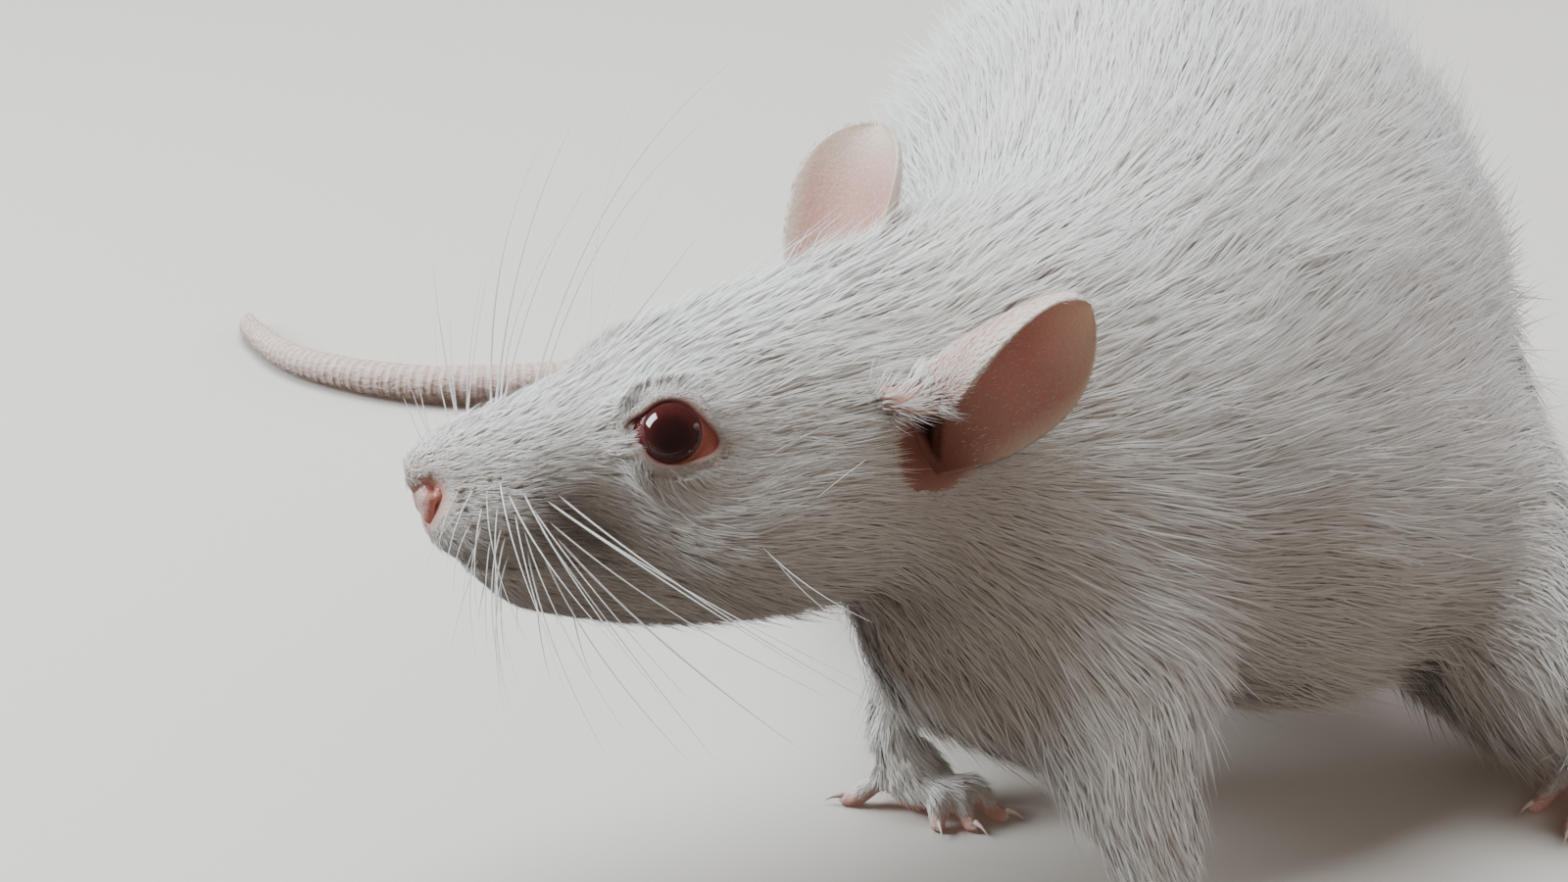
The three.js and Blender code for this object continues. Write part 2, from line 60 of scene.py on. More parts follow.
# %% Frames
EYE_HEIGHT, EYE_OFFSET, EYE_RADIUS = 50.0, 9.6, 3.3
low, high = (np.array(c) * 1000 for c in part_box("eye_left"))
SHIFT = (low + high) / 2 - np.array([0, 0, EYE_HEIGHT])


def unit(v):
    """Each vector of an array divided by its length."""
    v = np.asarray(v, float)
    return v / np.maximum(np.linalg.norm(v, axis=-1, keepdims=True), 1e-9)


def head_frame(yaw, pitch, roll):
    """Rows: the head's forward, left and up directions, from three angles in degrees."""
    yaw, pitch, roll = map(radians, (yaw, pitch, roll))
    ahead = np.array([-cos(yaw) * cos(pitch), -sin(yaw) * cos(pitch), -sin(pitch)])
    flat_left = np.array([sin(yaw), -cos(yaw), 0])
    flat_up = np.cross(ahead, flat_left)
    left = flat_left * cos(roll) - flat_up * sin(roll)
    up = flat_up * cos(roll) + flat_left * sin(roll)
    return np.array([ahead, left, up])


HEAD = head_frame(16, 1, -6)
HEAD_ORIGIN = np.array([0, 0, EYE_HEIGHT]) - EYE_OFFSET * HEAD[1]


def in_head(p):
    """A point given in the head's frame, as a point of the rat's frame."""
    return HEAD_ORIGIN + np.asarray(p, float) @ HEAD


def to_head(p):
    """A point of the rat's frame, as the head sees it."""
    return (p - HEAD_ORIGIN) @ HEAD.T


print("shift in mm:", SHIFT.round(2), "nose direction:", HEAD[0].round(2))

# %% [markdown]
# ## Meshes from arrays
# A surface of two parameters is a grid of points. Its faces follow from the grid alone, so they are
# also an array: each cell joins four neighbours. A grid can close on itself round a limb, and a row
# that shrinks to a single point closes an end.

# %% Grid helpers
RNG = np.random.default_rng(7)


def grid_faces(rows, columns):
    """Quads of a grid of rows by columns, counter-clockwise, the last column joined to the first."""
    i = np.arange(rows - 1)[:, None]
    j = np.arange(columns)[None, :]
    k = (j + 1) % columns
    quads = np.stack([i * columns + j, i * columns + k, (i + 1) * columns + k, (i + 1) * columns + j], -1)
    return quads.reshape(-1, 4)


def angles_round(count):
    """Angles evenly spaced round a full turn."""
    return np.arange(count) * 2 * pi / count


def unit_ball(rings, around):
    """Points of a sphere of radius 1 whose poles lie on the x axis, ring by ring."""
    a = np.linspace(0, pi, rings)[:, None]
    b = angles_round(around)
    return np.stack([np.cos(a) + 0 * b, np.sin(a) * np.cos(b), np.sin(a) * np.sin(b)], -1).reshape(-1, 3)


def make_piece(name, points, faces, smooth=True):
    """A mesh object from points in the rat's frame in mm and an array of faces, or a list of such arrays."""
    faces = faces if isinstance(faces, list) else [faces]
    mesh = bpy.data.meshes.new(name)
    mesh.vertices.add(len(points))
    mesh.vertices.foreach_set("co", ((points + SHIFT) * 0.001).astype(np.float32).ravel())
    loops = np.concatenate([f.ravel() for f in faces]).astype(np.int32)
    sizes = np.concatenate([np.full(len(f), f.shape[1]) for f in faces]).astype(np.int32)
    mesh.loops.add(len(loops))
    mesh.loops.foreach_set("vertex_index", loops)
    mesh.polygons.add(len(sizes))
    mesh.polygons.foreach_set("loop_start", np.concatenate([[0], np.cumsum(sizes)[:-1]]).astype(np.int32))
    mesh.polygons.foreach_set("use_smooth", np.full(len(sizes), smooth))
    mesh.update(calc_edges=True)
    mesh.validate()
    piece = bpy.data.objects.new(name, mesh)
    bpy.context.scene.collection.objects.link(piece)
    return piece


def points_of(mesh):
    """The mesh's vertices as an array, back in the rat's frame in mm."""
    flat = np.empty(len(mesh.vertices) * 3, np.float32)
    mesh.vertices.foreach_get("co", flat)
    return flat.reshape(-1, 3).astype(float) * 1000 - SHIFT


def with_modifiers(piece):
    """The points and face corners of a piece after its modifiers. The piece itself is taken away."""
    evaluated = piece.evaluated_get(bpy.context.evaluated_depsgraph_get())
    mesh = bpy.data.meshes.new_from_object(evaluated)
    bpy.data.objects.remove(piece)
    corners = np.empty(len(mesh.loops), np.int32)
    mesh.loops.foreach_get("vertex_index", corners)
    return points_of(mesh), corners


# Large odd numbers that stir a cell's three indices, its seed and the sum of them all.
STIR, SEED_STIR, SUM_STIR = (374761393, 668265263, 2147483647), 974711, 1274126177
LATTICE_MOST = 65535
LATTICE_SHIFT = 1000.37  # keeps the animal clear of the lattice's own zero


def lattice_number(cell, seed):
    """A whole number from 0 to 65535 for every lattice cell, scattered but the same each run."""
    h = cell[:, 0] * STIR[0] + cell[:, 1] * STIR[1] + cell[:, 2] * STIR[2] + seed * SEED_STIR
    h = (h ^ (h >> 13)) * SUM_STIR & 0x7FFFFFFF
    return (h ^ (h >> 16)) & LATTICE_MOST


def noise(p, size, seed=0):
    """Smooth noise between -1 and 1: values on a lattice of the given size, blended with a smooth step."""
    q = np.asarray(p, float) / size + LATTICE_SHIFT
    cell = np.floor(q).astype(np.int64)
    f = q - cell
    f = f * f * (3 - 2 * f)
    total = 0
    for step in np.ndindex(2, 2, 2):
        value = lattice_number(cell + np.array(step), seed) / (LATTICE_MOST / 2) - 1
        share = np.where(step, f, 1 - f)
        total = total + value * (share[:, 0] * share[:, 1] * share[:, 2])
    return total


print("noise runs from", noise(RNG.uniform(0, 50, (500, 3)), 3).min().round(2))

# %% [markdown]
# ## The body's lines
# Under the coat a rat is a few smooth barrels: skull, jaw, trunk, legs and tail. Each is written as
# stations along its middle line: where the middle is, how wide it is, and how far it reaches above
# and below. These are the same stations as the solids, so the skin follows them exactly, and then
# each is drawn in by the depth of the coat that will lie over it.

# %% Stations, in mm: x, y, z, half width, height above, depth below
SKULL = [[22.9, 0, -4.9, 3, 3.2, 3.4], [19.6, 0, -5, 5.2, 5.5, 5.5], [14, 0, -5.6, 7.2, 7.6, 6.6],
         [7, 0, -5.8, 9, 10.2, 8.6], [0, 0, -5.4, 11.4, 12.8, 12.5], [-8, 0, -4.6, 14, 14.6, 15],
         [-17, 0, -4.6, 15.4, 15.6, 16.6], [-27, 0, -5.6, 16, 16.4, 17]]
JAW = [[19, 0, -12.2, 2.2, 2, 2], [15.5, 0, -13, 4, 4, 4], [10, 0, -13.8, 5.6, 5, 5.2],
       [2, 0, -13.5, 8.2, 6, 7.6], [-8, 0, -12.5, 10, 8, 9.6], [-18, 0, -11, 11, 9, 11]]
TRUNK = [[14, 14, 43, 14, 13, 13], [26, 18, 42, 20, 18, 20], [37.4, 26, 41, 26, 24, 29],
         [46.6, 42, 41, 31, 31, 32], [51.2, 60, 42, 34, 35, 34], [50.4, 80, 41, 34, 34, 33],
         [47, 100, 35, 30, 29, 28], [44, 117, 26, 20, 19, 19], [42, 128, 19, 8, 8, 8]]
BREAST = [[18, 17, 38, 12, 13, 13], [28, 15, 32, 14, 14.5, 18], [36, 11, 26, 13, 13.5, 17],
          [43, 7, 20, 9, 9, 11.5]]
NAPE = [[10, 11, 45.5, 12, 12, 12], [19, 15, 45, 17.5, 17, 16], [28, 21, 44, 20.5, 20.5, 20],
        [38, 29, 43, 22, 22, 24]]
LEFT_SIDE = [[43, 15, 32, 9, 13, 15], [55, 20, 30, 12, 18, 18], [67, 32, 29, 12, 19, 18],
             [75, 48, 28, 9, 14, 14]]
LEFT_ARM = [[40, 16, 34, 12, 13, 13], [40, 8, 27, 11, 11.5, 11.5], [40.5, 2, 20.5, 9, 9, 9],
            [42.2, -2.5, 14.5, 6.4, 6.2, 6.2], [44, -6, 9.5, 4.2, 4, 4], [44.6, -8.3, 6.3, 3, 2.6, 2.6],
            [44.6, -10.5, 4, 2.4, 2, 2]]
RIGHT_ARM = [[30, 36, 30, 9, 10, 10], [25, 34, 24, 7, 8, 8], [22.5, 31, 17, 5, 5.5, 5.5],
             [21.3, 28.5, 11.5, 3.4, 3.4, 3.6], [20.4, 26, 8, 2.6, 2.4, 2.8], [21, 24, 5.5, 2.4, 2.2, 2.2]]
LEFT_THIGH = [[60, 84, 34, 12, 14, 14], [69, 66, 30, 15, 20, 20], [75.6, 45, 24, 13, 18, 19],
              [81.5, 28, 15.5, 8.5, 12, 12], [86, 17, 10, 4, 6, 6]]
RIGHT_THIGH = [[42, 98, 34, 12, 14, 14], [31, 88, 30, 14, 20, 20], [25, 78, 25, 12, 18, 18],
               [24, 67, 18, 8, 12, 11], [24.4, 60, 13, 4, 6, 6]]
LEFT_SHANK = [[86, 24, 13, 5, 6, 6], [89.5, 36, 11, 5, 6, 6], [92.4, 49, 8, 3.6, 4.4, 4.4],
              [93.2, 56, 5, 2.8, 3.2, 3.2]]
RIGHT_SHANK = [[24.6, 64, 13, 5, 6, 6], [22.6, 78, 11, 5, 6, 6], [22.6, 92, 8, 3.6, 4.4, 4.4],
               [23.1, 98, 5, 2.8, 3.2, 3.2]]
TAIL = [[43, 120, 20, 6.5, 6.5, 6.5], [46, 132, 13, 5.2, 5.2, 5.2], [55, 143, 6.5, 4.6, 4.5, 4.5],
        [61, 154, 4.2, 4.3, 4.2, 4.3], [56, 165, 3.9, 4.1, 4, 4.1], [42, 168, 3.7, 3.9, 3.8, 3.9],
        [24, 158, 3.4, 3.7, 3.5, 3.6], [6, 144, 3.2, 3.5, 3.3, 3.4], [-14, 135, 2.9, 3.2, 3, 3.1],
        [-34, 134, 2.6, 2.8, 2.7, 2.8], [-50, 142, 2.2, 2.4, 2.3, 2.4], [-58, 154, 1.8, 2, 1.9, 2],
        [-60, 162, 1.5, 1.5, 1.4, 1.6]]
FEET = {
    "paw_left": dict(
        sole=[[44.6, -8.6, 5.8, 2.6, 2.2, 2.2], [44.4, -11.5, 3.8, 3.2, 2.2, 3.9],
              [43.6, -14.5, 2.4, 3.8, 1.7, 2.9], [43, -16.5, 1.8, 3.2, 1.2, 2]],
        toes=[[47.6, -20.5], [44.4, -22.5], [40.6, -22.2], [37.4, -18.6]], knuckle=2.9, root=0.15),
    "paw_right": dict(
        sole=[[20.6, 26.4, 7.6, 2.4, 2, 2], [22, 25.4, 5.4, 3, 2.2, 4],
              [24.2, 24.4, 3, 3.8, 1.8, 4.2], [25.8, 23.6, 2, 3.2, 1.2, 2.8]],
        toes=[[15.6, 25.2], [25, 19], [28.6, 19.2], [31.8, 21.8]], knuckle=3.2, root=0.1),
    "hind_left": dict(
        sole=[[93.4, 58, 3.8, 2.4, 2.8, 3.4], [92.8, 50, 3.4, 3.3, 2.6, 3.8],
              [91.6, 37, 3, 4, 2.3, 3.4], [90.6, 29, 2.6, 4.6, 1.9, 3], [90.2, 25, 2, 3.8, 1.4, 2.1]],
        toes=[[96.4, 23.5], [93.8, 18], [90, 16.4], [86.2, 17.8], [83.6, 23.5]], knuckle=2.8, root=0.12),
    "hind_right": dict(
        sole=[[23, 100, 3.8, 2.4, 2.8, 3.4], [23.4, 92, 3.4, 3.3, 2.6, 3.8],
              [25.2, 79, 3, 4, 2.3, 3.4], [26.4, 71, 2.6, 4.6, 1.9, 3], [27, 67, 2, 3.8, 1.4, 2.1]],
        toes=[[20.6, 65.5], [24.2, 59.8], [28, 58.4], [31.6, 60.2], [33.8, 65.8]], knuckle=2.8, root=0.12),
}
print("tail stations:", len(TAIL))


# %% Pods
CAP_RINGS = 12
THINNEST = 0.3  # mm, the least half width of a barrel away from its ends


def along_line(rows, t):
    """Rows joined by a smooth curve through them (Catmull-Rom), read at places t counted in stations."""
    rows = np.asarray(rows, float)
    padded = np.vstack([2 * rows[0] - rows[1], rows, 2 * rows[-1] - rows[-2]])
    i = np.clip(np.floor(t).astype(int), 0, len(rows) - 2)
    f = (np.asarray(t, float) - i)[:, None]
    a, b, c, d = (padded[i + k] for k in range(4))
    return 0.5 * (2 * b + (c - a) * f + (2 * a - 5 * b + 4 * c - d) * f**2 + (3 * b - a - 3 * c + d) * f**3)


def axes_along(rows, t, up):
    """At places t on a line: its direction, and the side and top directions square to it."""
    ahead = unit(along_line(rows, np.minimum(t + 0.01, len(rows) - 1))[:, :3]
                 - along_line(rows, np.maximum(t - 0.01, 0))[:, :3])
    side = unit(np.cross(np.asarray(up, float), ahead))
    return ahead, side, np.cross(ahead, side)


def pod(rows, up=(0, 0, 1), caps=(1, 1), pear=0.0, rings=40, around=48):
    """A closed barrel: at angle b round a section the point is the centre plus side times width times
    cos b (1 - pear sin b) plus top times height times sin b. Each end is a quarter circle over its
    cap's length, counted in stations."""
    rows = np.asarray(rows, float)
    last = len(rows) - 1
    a = np.linspace(0, pi / 2, CAP_RINGS)
    t = np.concatenate([caps[0] * (1 - np.cos(a)), np.linspace(caps[0], last - caps[1], rings)[1:-1],
                        last - caps[1] * (1 - np.cos(a[::-1]))])
    dome = np.concatenate([np.sin(a), np.ones(rings - 2), np.sin(a[::-1])])
    values = along_line(rows, t)
    size = np.maximum(values[:, 3:], THINNEST) * dome[:, None]
    ahead, side, top = axes_along(rows, t, up)
    b = angles_round(around)
    width = size[:, :1] * np.cos(b) * (1 - pear * np.sin(b))
    height = np.where(np.sin(b) > 0, size[:, 1:2], size[:, 2:3]) * np.sin(b)
    points = values[:, None, :3] + width[..., None] * side[:, None] + height[..., None] * top[:, None]
    return points.reshape(-1, 3), grid_faces(len(t), around)


def in_head_rows(rows):
    """Stations of the head's frame moved to the rat's frame, sizes untouched."""
    rows = np.asarray(rows, float)
    return np.hstack([in_head(rows[:, :3]), rows[:, 3:]])


def head_ball(centre, radii, rings=24, around=36):
    """An egg in the head's frame: centre plus radii times the point of a unit sphere."""
    return in_head(np.asarray(centre) + unit_ball(rings, around) * radii), grid_faces(rings, around)


print("the trunk's pod has", len(pod(TRUNK)[0]), "points")

# %% [markdown]
# ## The coat's length, part by part
# A rat's hair is a millimetre long on the nose and nearly ten on the back, and the coat's depth
# grows with it. So each line of stations carries the hair's length at each station. The same
# numbers draw the skin in, set how long the tufts are, and tell where skin shows bare.

# %% Lines: stations, up direction, hair length at each station
UP, FORWARD = (0, 0, 1), (0, -1, 0)
DEPTH_SHARE = 0.34  # depth of the coat as a share of the hair's length
LINES = {
    "skull": (in_head_rows(SKULL), HEAD[2], [1, 1.1, 1.6, 2.3, 3.1, 3.9, 5, 6]),
    "jaw": (in_head_rows(JAW), HEAD[2], [1, 1.2, 1.9, 2.8, 4, 5]),
    "trunk": (TRUNK, UP, [6, 7, 8.5, 9, 9.5, 9.5, 9, 8, 5]),
    "nape": (NAPE, UP, [5.5, 6.5, 7, 8]),
    "breast": (BREAST, UP, [6, 6.5, 7, 6]),
    "left_side": (LEFT_SIDE, UP, [7, 8, 8.5, 8.5]),
    "arm_left": (LEFT_ARM, FORWARD, [7, 6.5, 5.5, 4, 2.4, 1.4, 1]),
    "arm_right": (RIGHT_ARM, FORWARD, [7, 6.5, 5.5, 4.2, 2.8, 1.8]),
    "thigh_left": (LEFT_THIGH, UP, [8.5, 8.5, 8, 6, 4]),
    "thigh_right": (RIGHT_THIGH, UP, [8.5, 8.5, 8, 6, 4]),
    "shank_left": (LEFT_SHANK, UP, [5, 4, 2.4, 1.2]),
    "shank_right": (RIGHT_SHANK, UP, [5, 4, 2.4, 1.2]),
    "tail": (TAIL, UP, [6, 3.2, 1.4, 1.2] + [1] * 9),
}
CAPS = {"skull": (0.8, 1), "jaw": (0.8, 1)}


def toe_rows(foot, tip):
    """Stations of one toe: from the front of the sole up over the knuckle and down to the pad."""
    front = np.array(foot["sole"][-2][:3])
    tip = np.array(tip)
    start = front[:2] + foot["root"] * (tip - front[:2])
    share = np.array([0, 0.45, 0.8, 1.05])[:, None]
    plan = start + (tip - start) * share
    height = np.array([front[2], foot["knuckle"], 0.9, 0.4])[:, None]
    thick = np.array([1.05, 1.02, 0.92, 0.88])[:, None]
    return np.hstack([plan, height, thick, thick, thick])


for name, foot in FEET.items():
    LINES[name] = (foot["sole"], UP, [1.0] + [0.7] * (len(foot["sole"]) - 1))
    for k, tip in enumerate(foot["toes"]):
        LINES[f"{name}_toe_{k + 1}"] = (toe_rows(foot, tip), UP, [0.8, 0.8, 0.7, 0.6])
        CAPS[f"{name}_toe_{k + 1}"] = (0.4, 0.5)
print("hair lengths:", {k: (v[2][0], v[2][-1]) for k, v in LINES.items() if k in ("skull", "trunk", "tail")})

# %% [markdown]
# ## Ears
# A rat's ear is a thin leaf rolled into a scoop, with its front edge turned over. On paper it is a
# half width that grows and closes again along the length, bent round a circle whose arc says how
# deep the scoop is. Both faces of the leaf are one closed surface: the parameter w goes out along
# the back of the leaf and comes home along its front.

# %% Ear leaves
EAR_LENGTH, EAR_HALF_WIDTH = 20.0, 8.2
EAR_ROWS, EAR_AROUND = 90, 112
EAR_BURIED = 0.2  # share of the length that is carried on down into the head
EAR_TUCK = 12.0  # mm that this part turns inwards, for each length of ear
EARS = {
    "ear_left": dict(base=[-20.2, 11.6, 0.1], axis=[-0.8, 0.36, 0.46], face=[0.1, 0.9, -0.38], front=1,
                     arcs=(84, 52), roll=0.75, skew=2.0, lift=5.2, drop=3.2),
    "ear_right": dict(base=[-22.4, -11.3, 1.3], axis=[-0.27, -0.22, 0.93], face=[0.8, 0.42, 0.1], front=-1,
                      arcs=(74, 46), roll=0.2, skew=-0.3, lift=0, drop=0),
}
w = (np.arange(EAR_AROUND) / EAR_AROUND)[None, :]
EAR_ALONG = -EAR_BURIED + (1 + EAR_BURIED) * (0.5 - 0.5 * np.cos(np.linspace(0, pi, EAR_ROWS)))[:, None]
EAR_ACROSS = np.where(w < 0.5, -1 + 4 * w, 3 - 4 * w)  # -1 at the back edge, 1 at the front edge
EAR_OUTER = np.where(w < 0.5, -1.0, 1.0)

# The way into the left ear is a pit with a broad top and a pointed foot: x and z of its top, its
# height and half its width, in the head's frame.
EAR_PIT_TOP, EAR_PIT_HEIGHT, EAR_PIT_HALF_WIDTH, EAR_PIT_DEPTH = (-22.7, -0.9), 4.4, 1.3, 1.6


def in_ear_pit(p):
    """1 inside the pit and 0 outside. The pit's half width shrinks to a point at its foot, and the side
    of the head with y below 0 has no pit."""
    x, y, z = p[..., 0], p[..., 1], p[..., 2]
    down = (EAR_PIT_TOP[1] - z) / EAR_PIT_HEIGHT
    half = EAR_PIT_HALF_WIDTH * np.sqrt(np.clip(1 - down, 0.001, 1)) * (1 - 0.35 * np.clip(down, 0, 1))
    inside = np.clip((half - abs(x - EAR_PIT_TOP[0] + 0.7 * down)) / 0.35, 0, 1)
    return inside * np.clip(down / 0.08, 0, 1) * np.clip((1 - down) / 0.08, 0, 1) * (y > 0)


def ear_leaf(ear, thickness=0.8):
    """A closed leaf. Along u: half width = widest times a rising sine, times a closing curve. Across v
    from -1 to 1: the angle is arc times (v + roll v squared on the front half), on a circle of radius
    half width / arc, plus or minus half the thickness. Skew draws the tip's front corner out along the
    ear, lift ends the front edge above the base, and drop carries the back edge down round the
    opening. Also returns which points are in the pit."""
    length = unit(np.asarray(ear["axis"]) @ HEAD)
    hollow = np.asarray(ear["face"]) @ HEAD
    hollow = unit(hollow - length * (hollow @ length))
    across = np.cross(hollow, length) * ear["front"]
    u, v = EAR_ALONG, EAR_ACROSS
    free = np.maximum(u, 0)
    rising = 0.62 + 0.38 * np.sin(np.minimum(free / 0.5, 1) * pi / 2)
    closing = np.sqrt(np.maximum(0, 1 - np.maximum(0, (u - 0.46) / 0.54) ** 3))
    opening = np.sqrt(np.clip((u + EAR_BURIED) / 0.08, 0, 1))
    half = EAR_HALF_WIDTH * rising * closing * opening
    arc = np.radians(ear["arcs"][0] + (ear["arcs"][1] - ear["arcs"][0]) * free)
    angle = arc * (v + ear["roll"] * (1 - 0.6 * free) * np.maximum(0, v) ** 2)
    depth = 0.5 * thickness * np.sqrt(np.maximum(0, 1 - v**4)) * np.minimum(1, closing * 1.5) * opening
    ring = half / arc
    r = ring - EAR_OUTER * depth
    low = opening * (1 - free) ** 2
    lifted = ear["lift"] * low * np.maximum(0, (v + 0.1) / 1.1) ** 1.5
    dropped = ear["drop"] * low * np.maximum(0, -v) ** 1.5
    along = u * EAR_LENGTH + ear["skew"] * v * closing * free**1.6 + lifted
    sideways = r * np.sin(angle) - dropped
    points = (in_head(ear["base"]) + length * along[..., None] + across * sideways[..., None]
              + hollow * (ring - r * np.cos(angle))[..., None])
    pit = in_ear_pit(to_head(points)) * (v < 0.1)
    tucked = EAR_TUCK * np.maximum(0, -u) + 0 * v
    points = points - hollow * (EAR_PIT_DEPTH * pit + tucked)[..., None]
    faces = grid_faces(EAR_ROWS, EAR_AROUND)
    return points.reshape(-1, 3), faces if ear["front"] > 0 else faces[:, ::-1], pit.ravel()


ear_points = {name: ear_leaf(ear)[0] for name, ear in EARS.items()}
print("ear tips:", {k: v[-1].round(1).tolist() for k, v in ear_points.items()})

# %% [markdown]
# ## One skin
# The barrels overlap, so they are joined and remeshed with voxels: Blender fills them with a fine
# lattice and wraps one new surface round the whole. What is left are creases where two barrels
# meet. They are eased by moving each point towards the middle of its neighbours, many times over on
# the thick parts and hardly at all on toes and ears, where it would eat the shape away.

# %% Join and remesh
VOXEL = 0.42
LEAST_FLESH = 0.4  # mm of half width that the coat always leaves


def flesh_parts():
    """Every closed barrel, ball and leaf of the body, as (points, faces) pairs."""
    for name, (rows, up, hair) in LINES.items():
        depth = np.asarray(hair) * (0 if "toe" in name else DEPTH_SHARE)
        rows = np.array(rows, float)
        rows[:, 3:] = np.maximum(rows[:, 3:] - depth[:, None], LEAST_FLESH)
        small = "toe" in name
        yield pod(rows, up, caps=CAPS.get(name, (1, 1)), pear=0.2 if name == "trunk" else 0,
                  rings=110 if name == "tail" else 14 if small else 40, around=20 if small else 48)
    for side in (1, -1):
        yield head_ball((13.2, 3.6 * side, -7.6), (7.7, 4.2, 4.5))  # whisker pad
        yield head_ball((-9.5, 7 * side, -9), (12.2, 7.3, 8.9))  # cheek


def joined(parts):
    """Many (points, faces) pairs as one: each part's faces count on from the points before it."""
    points, faces, start = [], [], 0
    for p, f in parts:
        points.append(p)
        faces.append(f + start)
        start += len(p)
    return np.concatenate(points), np.concatenate(faces)


skin = make_piece("skin", *joined(flesh_parts()))
remesh = skin.modifiers.new("one surface", "REMESH")
remesh.mode = "VOXEL"
remesh.voxel_size = VOXEL * 0.001
P, corners = with_modifiers(skin)
Q = corners.reshape(-1, 4)
print("remeshed skin:", len(P), "points,", len(Q), "quads")


# %% Which line each point lies on
# The columns of a sample: its centre, mean radius, three axes, hair length, share of the way along its
# line, and its line's number.
CENTRE, RADIUS, AHEAD, SIDE, TOP = slice(0, 3), 3, slice(4, 7), slice(7, 10), slice(10, 13)
HAIR, SHARE, LINE = 13, 14, 15
SAMPLE_STEP = 1.5  # mm
NEAREST_COUNTS = 5  # the larger, the less the farther samples count


def line_samples():
    """Dense samples of every line, one row for each."""
    out = []
    for k, (name, (rows, up, hair)) in enumerate(LINES.items()):
        last = len(rows) - 1
        length = np.linalg.norm(np.diff(np.asarray(rows, float)[:, :3], axis=0), axis=1).sum()
        t = np.linspace(0.05, last - 0.05, max(8, int(length / SAMPLE_STEP)))
        values = along_line(rows, t)
        ahead, side, top = axes_along(rows, t, up)
        out.append(np.column_stack([values[:, :3], values[:, 3:].mean(1), ahead, side, top,
                                    np.interp(t, np.arange(last + 1), hair), t / last, np.full(len(t), k)]))
    return np.concatenate(out)


SAMPLES = line_samples()
NAMES = list(LINES)


def on_lines(p, block=4000):
    """For each point: the index of the sample whose centre is nearest in units of that sample's radius,
    and the hair direction and length as averages weighted by how near each sample is."""
    best = np.empty(len(p), int)
    flow = np.empty((len(p), 3))
    hair = np.empty(len(p))
    for i in range(0, len(p), block):
        rel = p[i:i + block, None] - SAMPLES[None, :, CENTRE]
        score = (rel**2).sum(-1) / SAMPLES[None, :, RADIUS] ** 2
        best[i:i + block] = score.argmin(1)
        weight = np.exp(-NEAREST_COUNTS * (score - score.min(1, keepdims=True)))
        weight /= weight.sum(1, keepdims=True)
        flow[i:i + block] = weight @ SAMPLES[:, AHEAD]
        hair[i:i + block] = weight @ SAMPLES[:, HAIR]
    return best, flow, hair


best, flow, hair = on_lines(P)
size = SAMPLES[best, RADIUS]
print("samples:", len(SAMPLES), "hair from", hair.min().round(2), "to", hair.max().round(2), "mm")


# %% Ease the creases
QUAD_SIDES = np.concatenate([Q[:, [k, (k + 1) % 4]] for k in range(4)])
EDGES = np.unique(np.sort(QUAD_SIDES, axis=1), axis=0)
DEGREE = np.bincount(EDGES.ravel(), minlength=len(P))[:, None]


def neighbour_mean(values):
    """The mean of each point's neighbours' values along the mesh's edges."""
    a, b = EDGES.T
    n = len(DEGREE)
    total = np.stack([np.bincount(a, v[b], n) + np.bincount(b, v[a], n) for v in values.T], 1)
    return total / DEGREE


STAY_BELOW, FULLY_EASED = 1.6, 11  # mm: no easing under this radius, and all of it this much above
ease = 0.5 * np.clip((size - STAY_BELOW) / FULLY_EASED, 0, 1)
rounds = 160
for i in range(rounds):
    P = P + ease[:, None] * (neighbour_mean(P) - P)
LAST_ROUNDS = 5  # over everything, to take off the steps that voxels leave
for i in range(LAST_ROUNDS):
    P = P + 0.5 * (neighbour_mean(P) - P)
P[:, 2] = np.maximum(P[:, 2], 0.02)
print("eased over", rounds, "rounds; skin box", P.min(0).round(1), P.max(0).round(1))

# %% [markdown]
# ## The face
# The barrels give a head without features. The eyes bulge out of the skull in shallow sockets, each
# in an opening drawn out to a point in front and behind. The mouth is a crease under the whisker
# pads, and a narrow groove runs from it up to the nose. All of these are moves of the skin's own
# points, written as soft bumps of a distance: no point is moved by hand.

# %% Face tools
def normals_of(p, quads):
    """Normals of points: each quad's normal, the cross product of its diagonals, summed at its corners."""
    face = np.cross(p[quads[:, 2]] - p[quads[:, 0]], p[quads[:, 3]] - p[quads[:, 1]])
    corner = quads.ravel()
    total = np.stack([np.bincount(corner, np.repeat(axis, 4), len(p)) for axis in face.T], 1)
    return unit(total)


def bell(x, width):
    """A bump of 1 at x = 0 that dies away over the width: e to the minus (x / width) squared."""
    return np.exp(-((x / width) ** 2))


def blend(x, start, end):
    """0 before start, 1 after end and a smooth S between."""
    t = np.clip((x - start) / (end - start), 0, 1)
    return t * t * (3 - 2 * t)


def eye_axes(side):
    """The direction an eye looks in, then forward and up square to it, in the head's frame. On the left
    side is 1 and on the right -1."""
    look = unit([0.30, 0.92 * side, 0.22])
    forward = unit(np.array([1, 0, 0]) - look * look[0])
    return look, forward, np.cross(forward, look) * side


def in_eye(p, side):
    """For points of the head's frame: distance from the eye's axis, angle round it, height along it."""
    look, forward, up = eye_axes(side)
    q = p - [0, EYE_OFFSET * side, 0]
    x, y = q @ forward, q @ up
    return np.hypot(x, y), np.arctan2(y, x), q @ look


def from_eye(out, angle, height, side):
    """The other way: points of the rat's frame, from their distance, angle and height at an eye."""
    look, forward, up = eye_axes(side)
    q = ((out * np.cos(angle))[..., None] * forward + (out * np.sin(angle))[..., None] * up
         + height[..., None] * look)
    return in_head(q.reshape(-1, 3) + [0, EYE_OFFSET * side, 0])


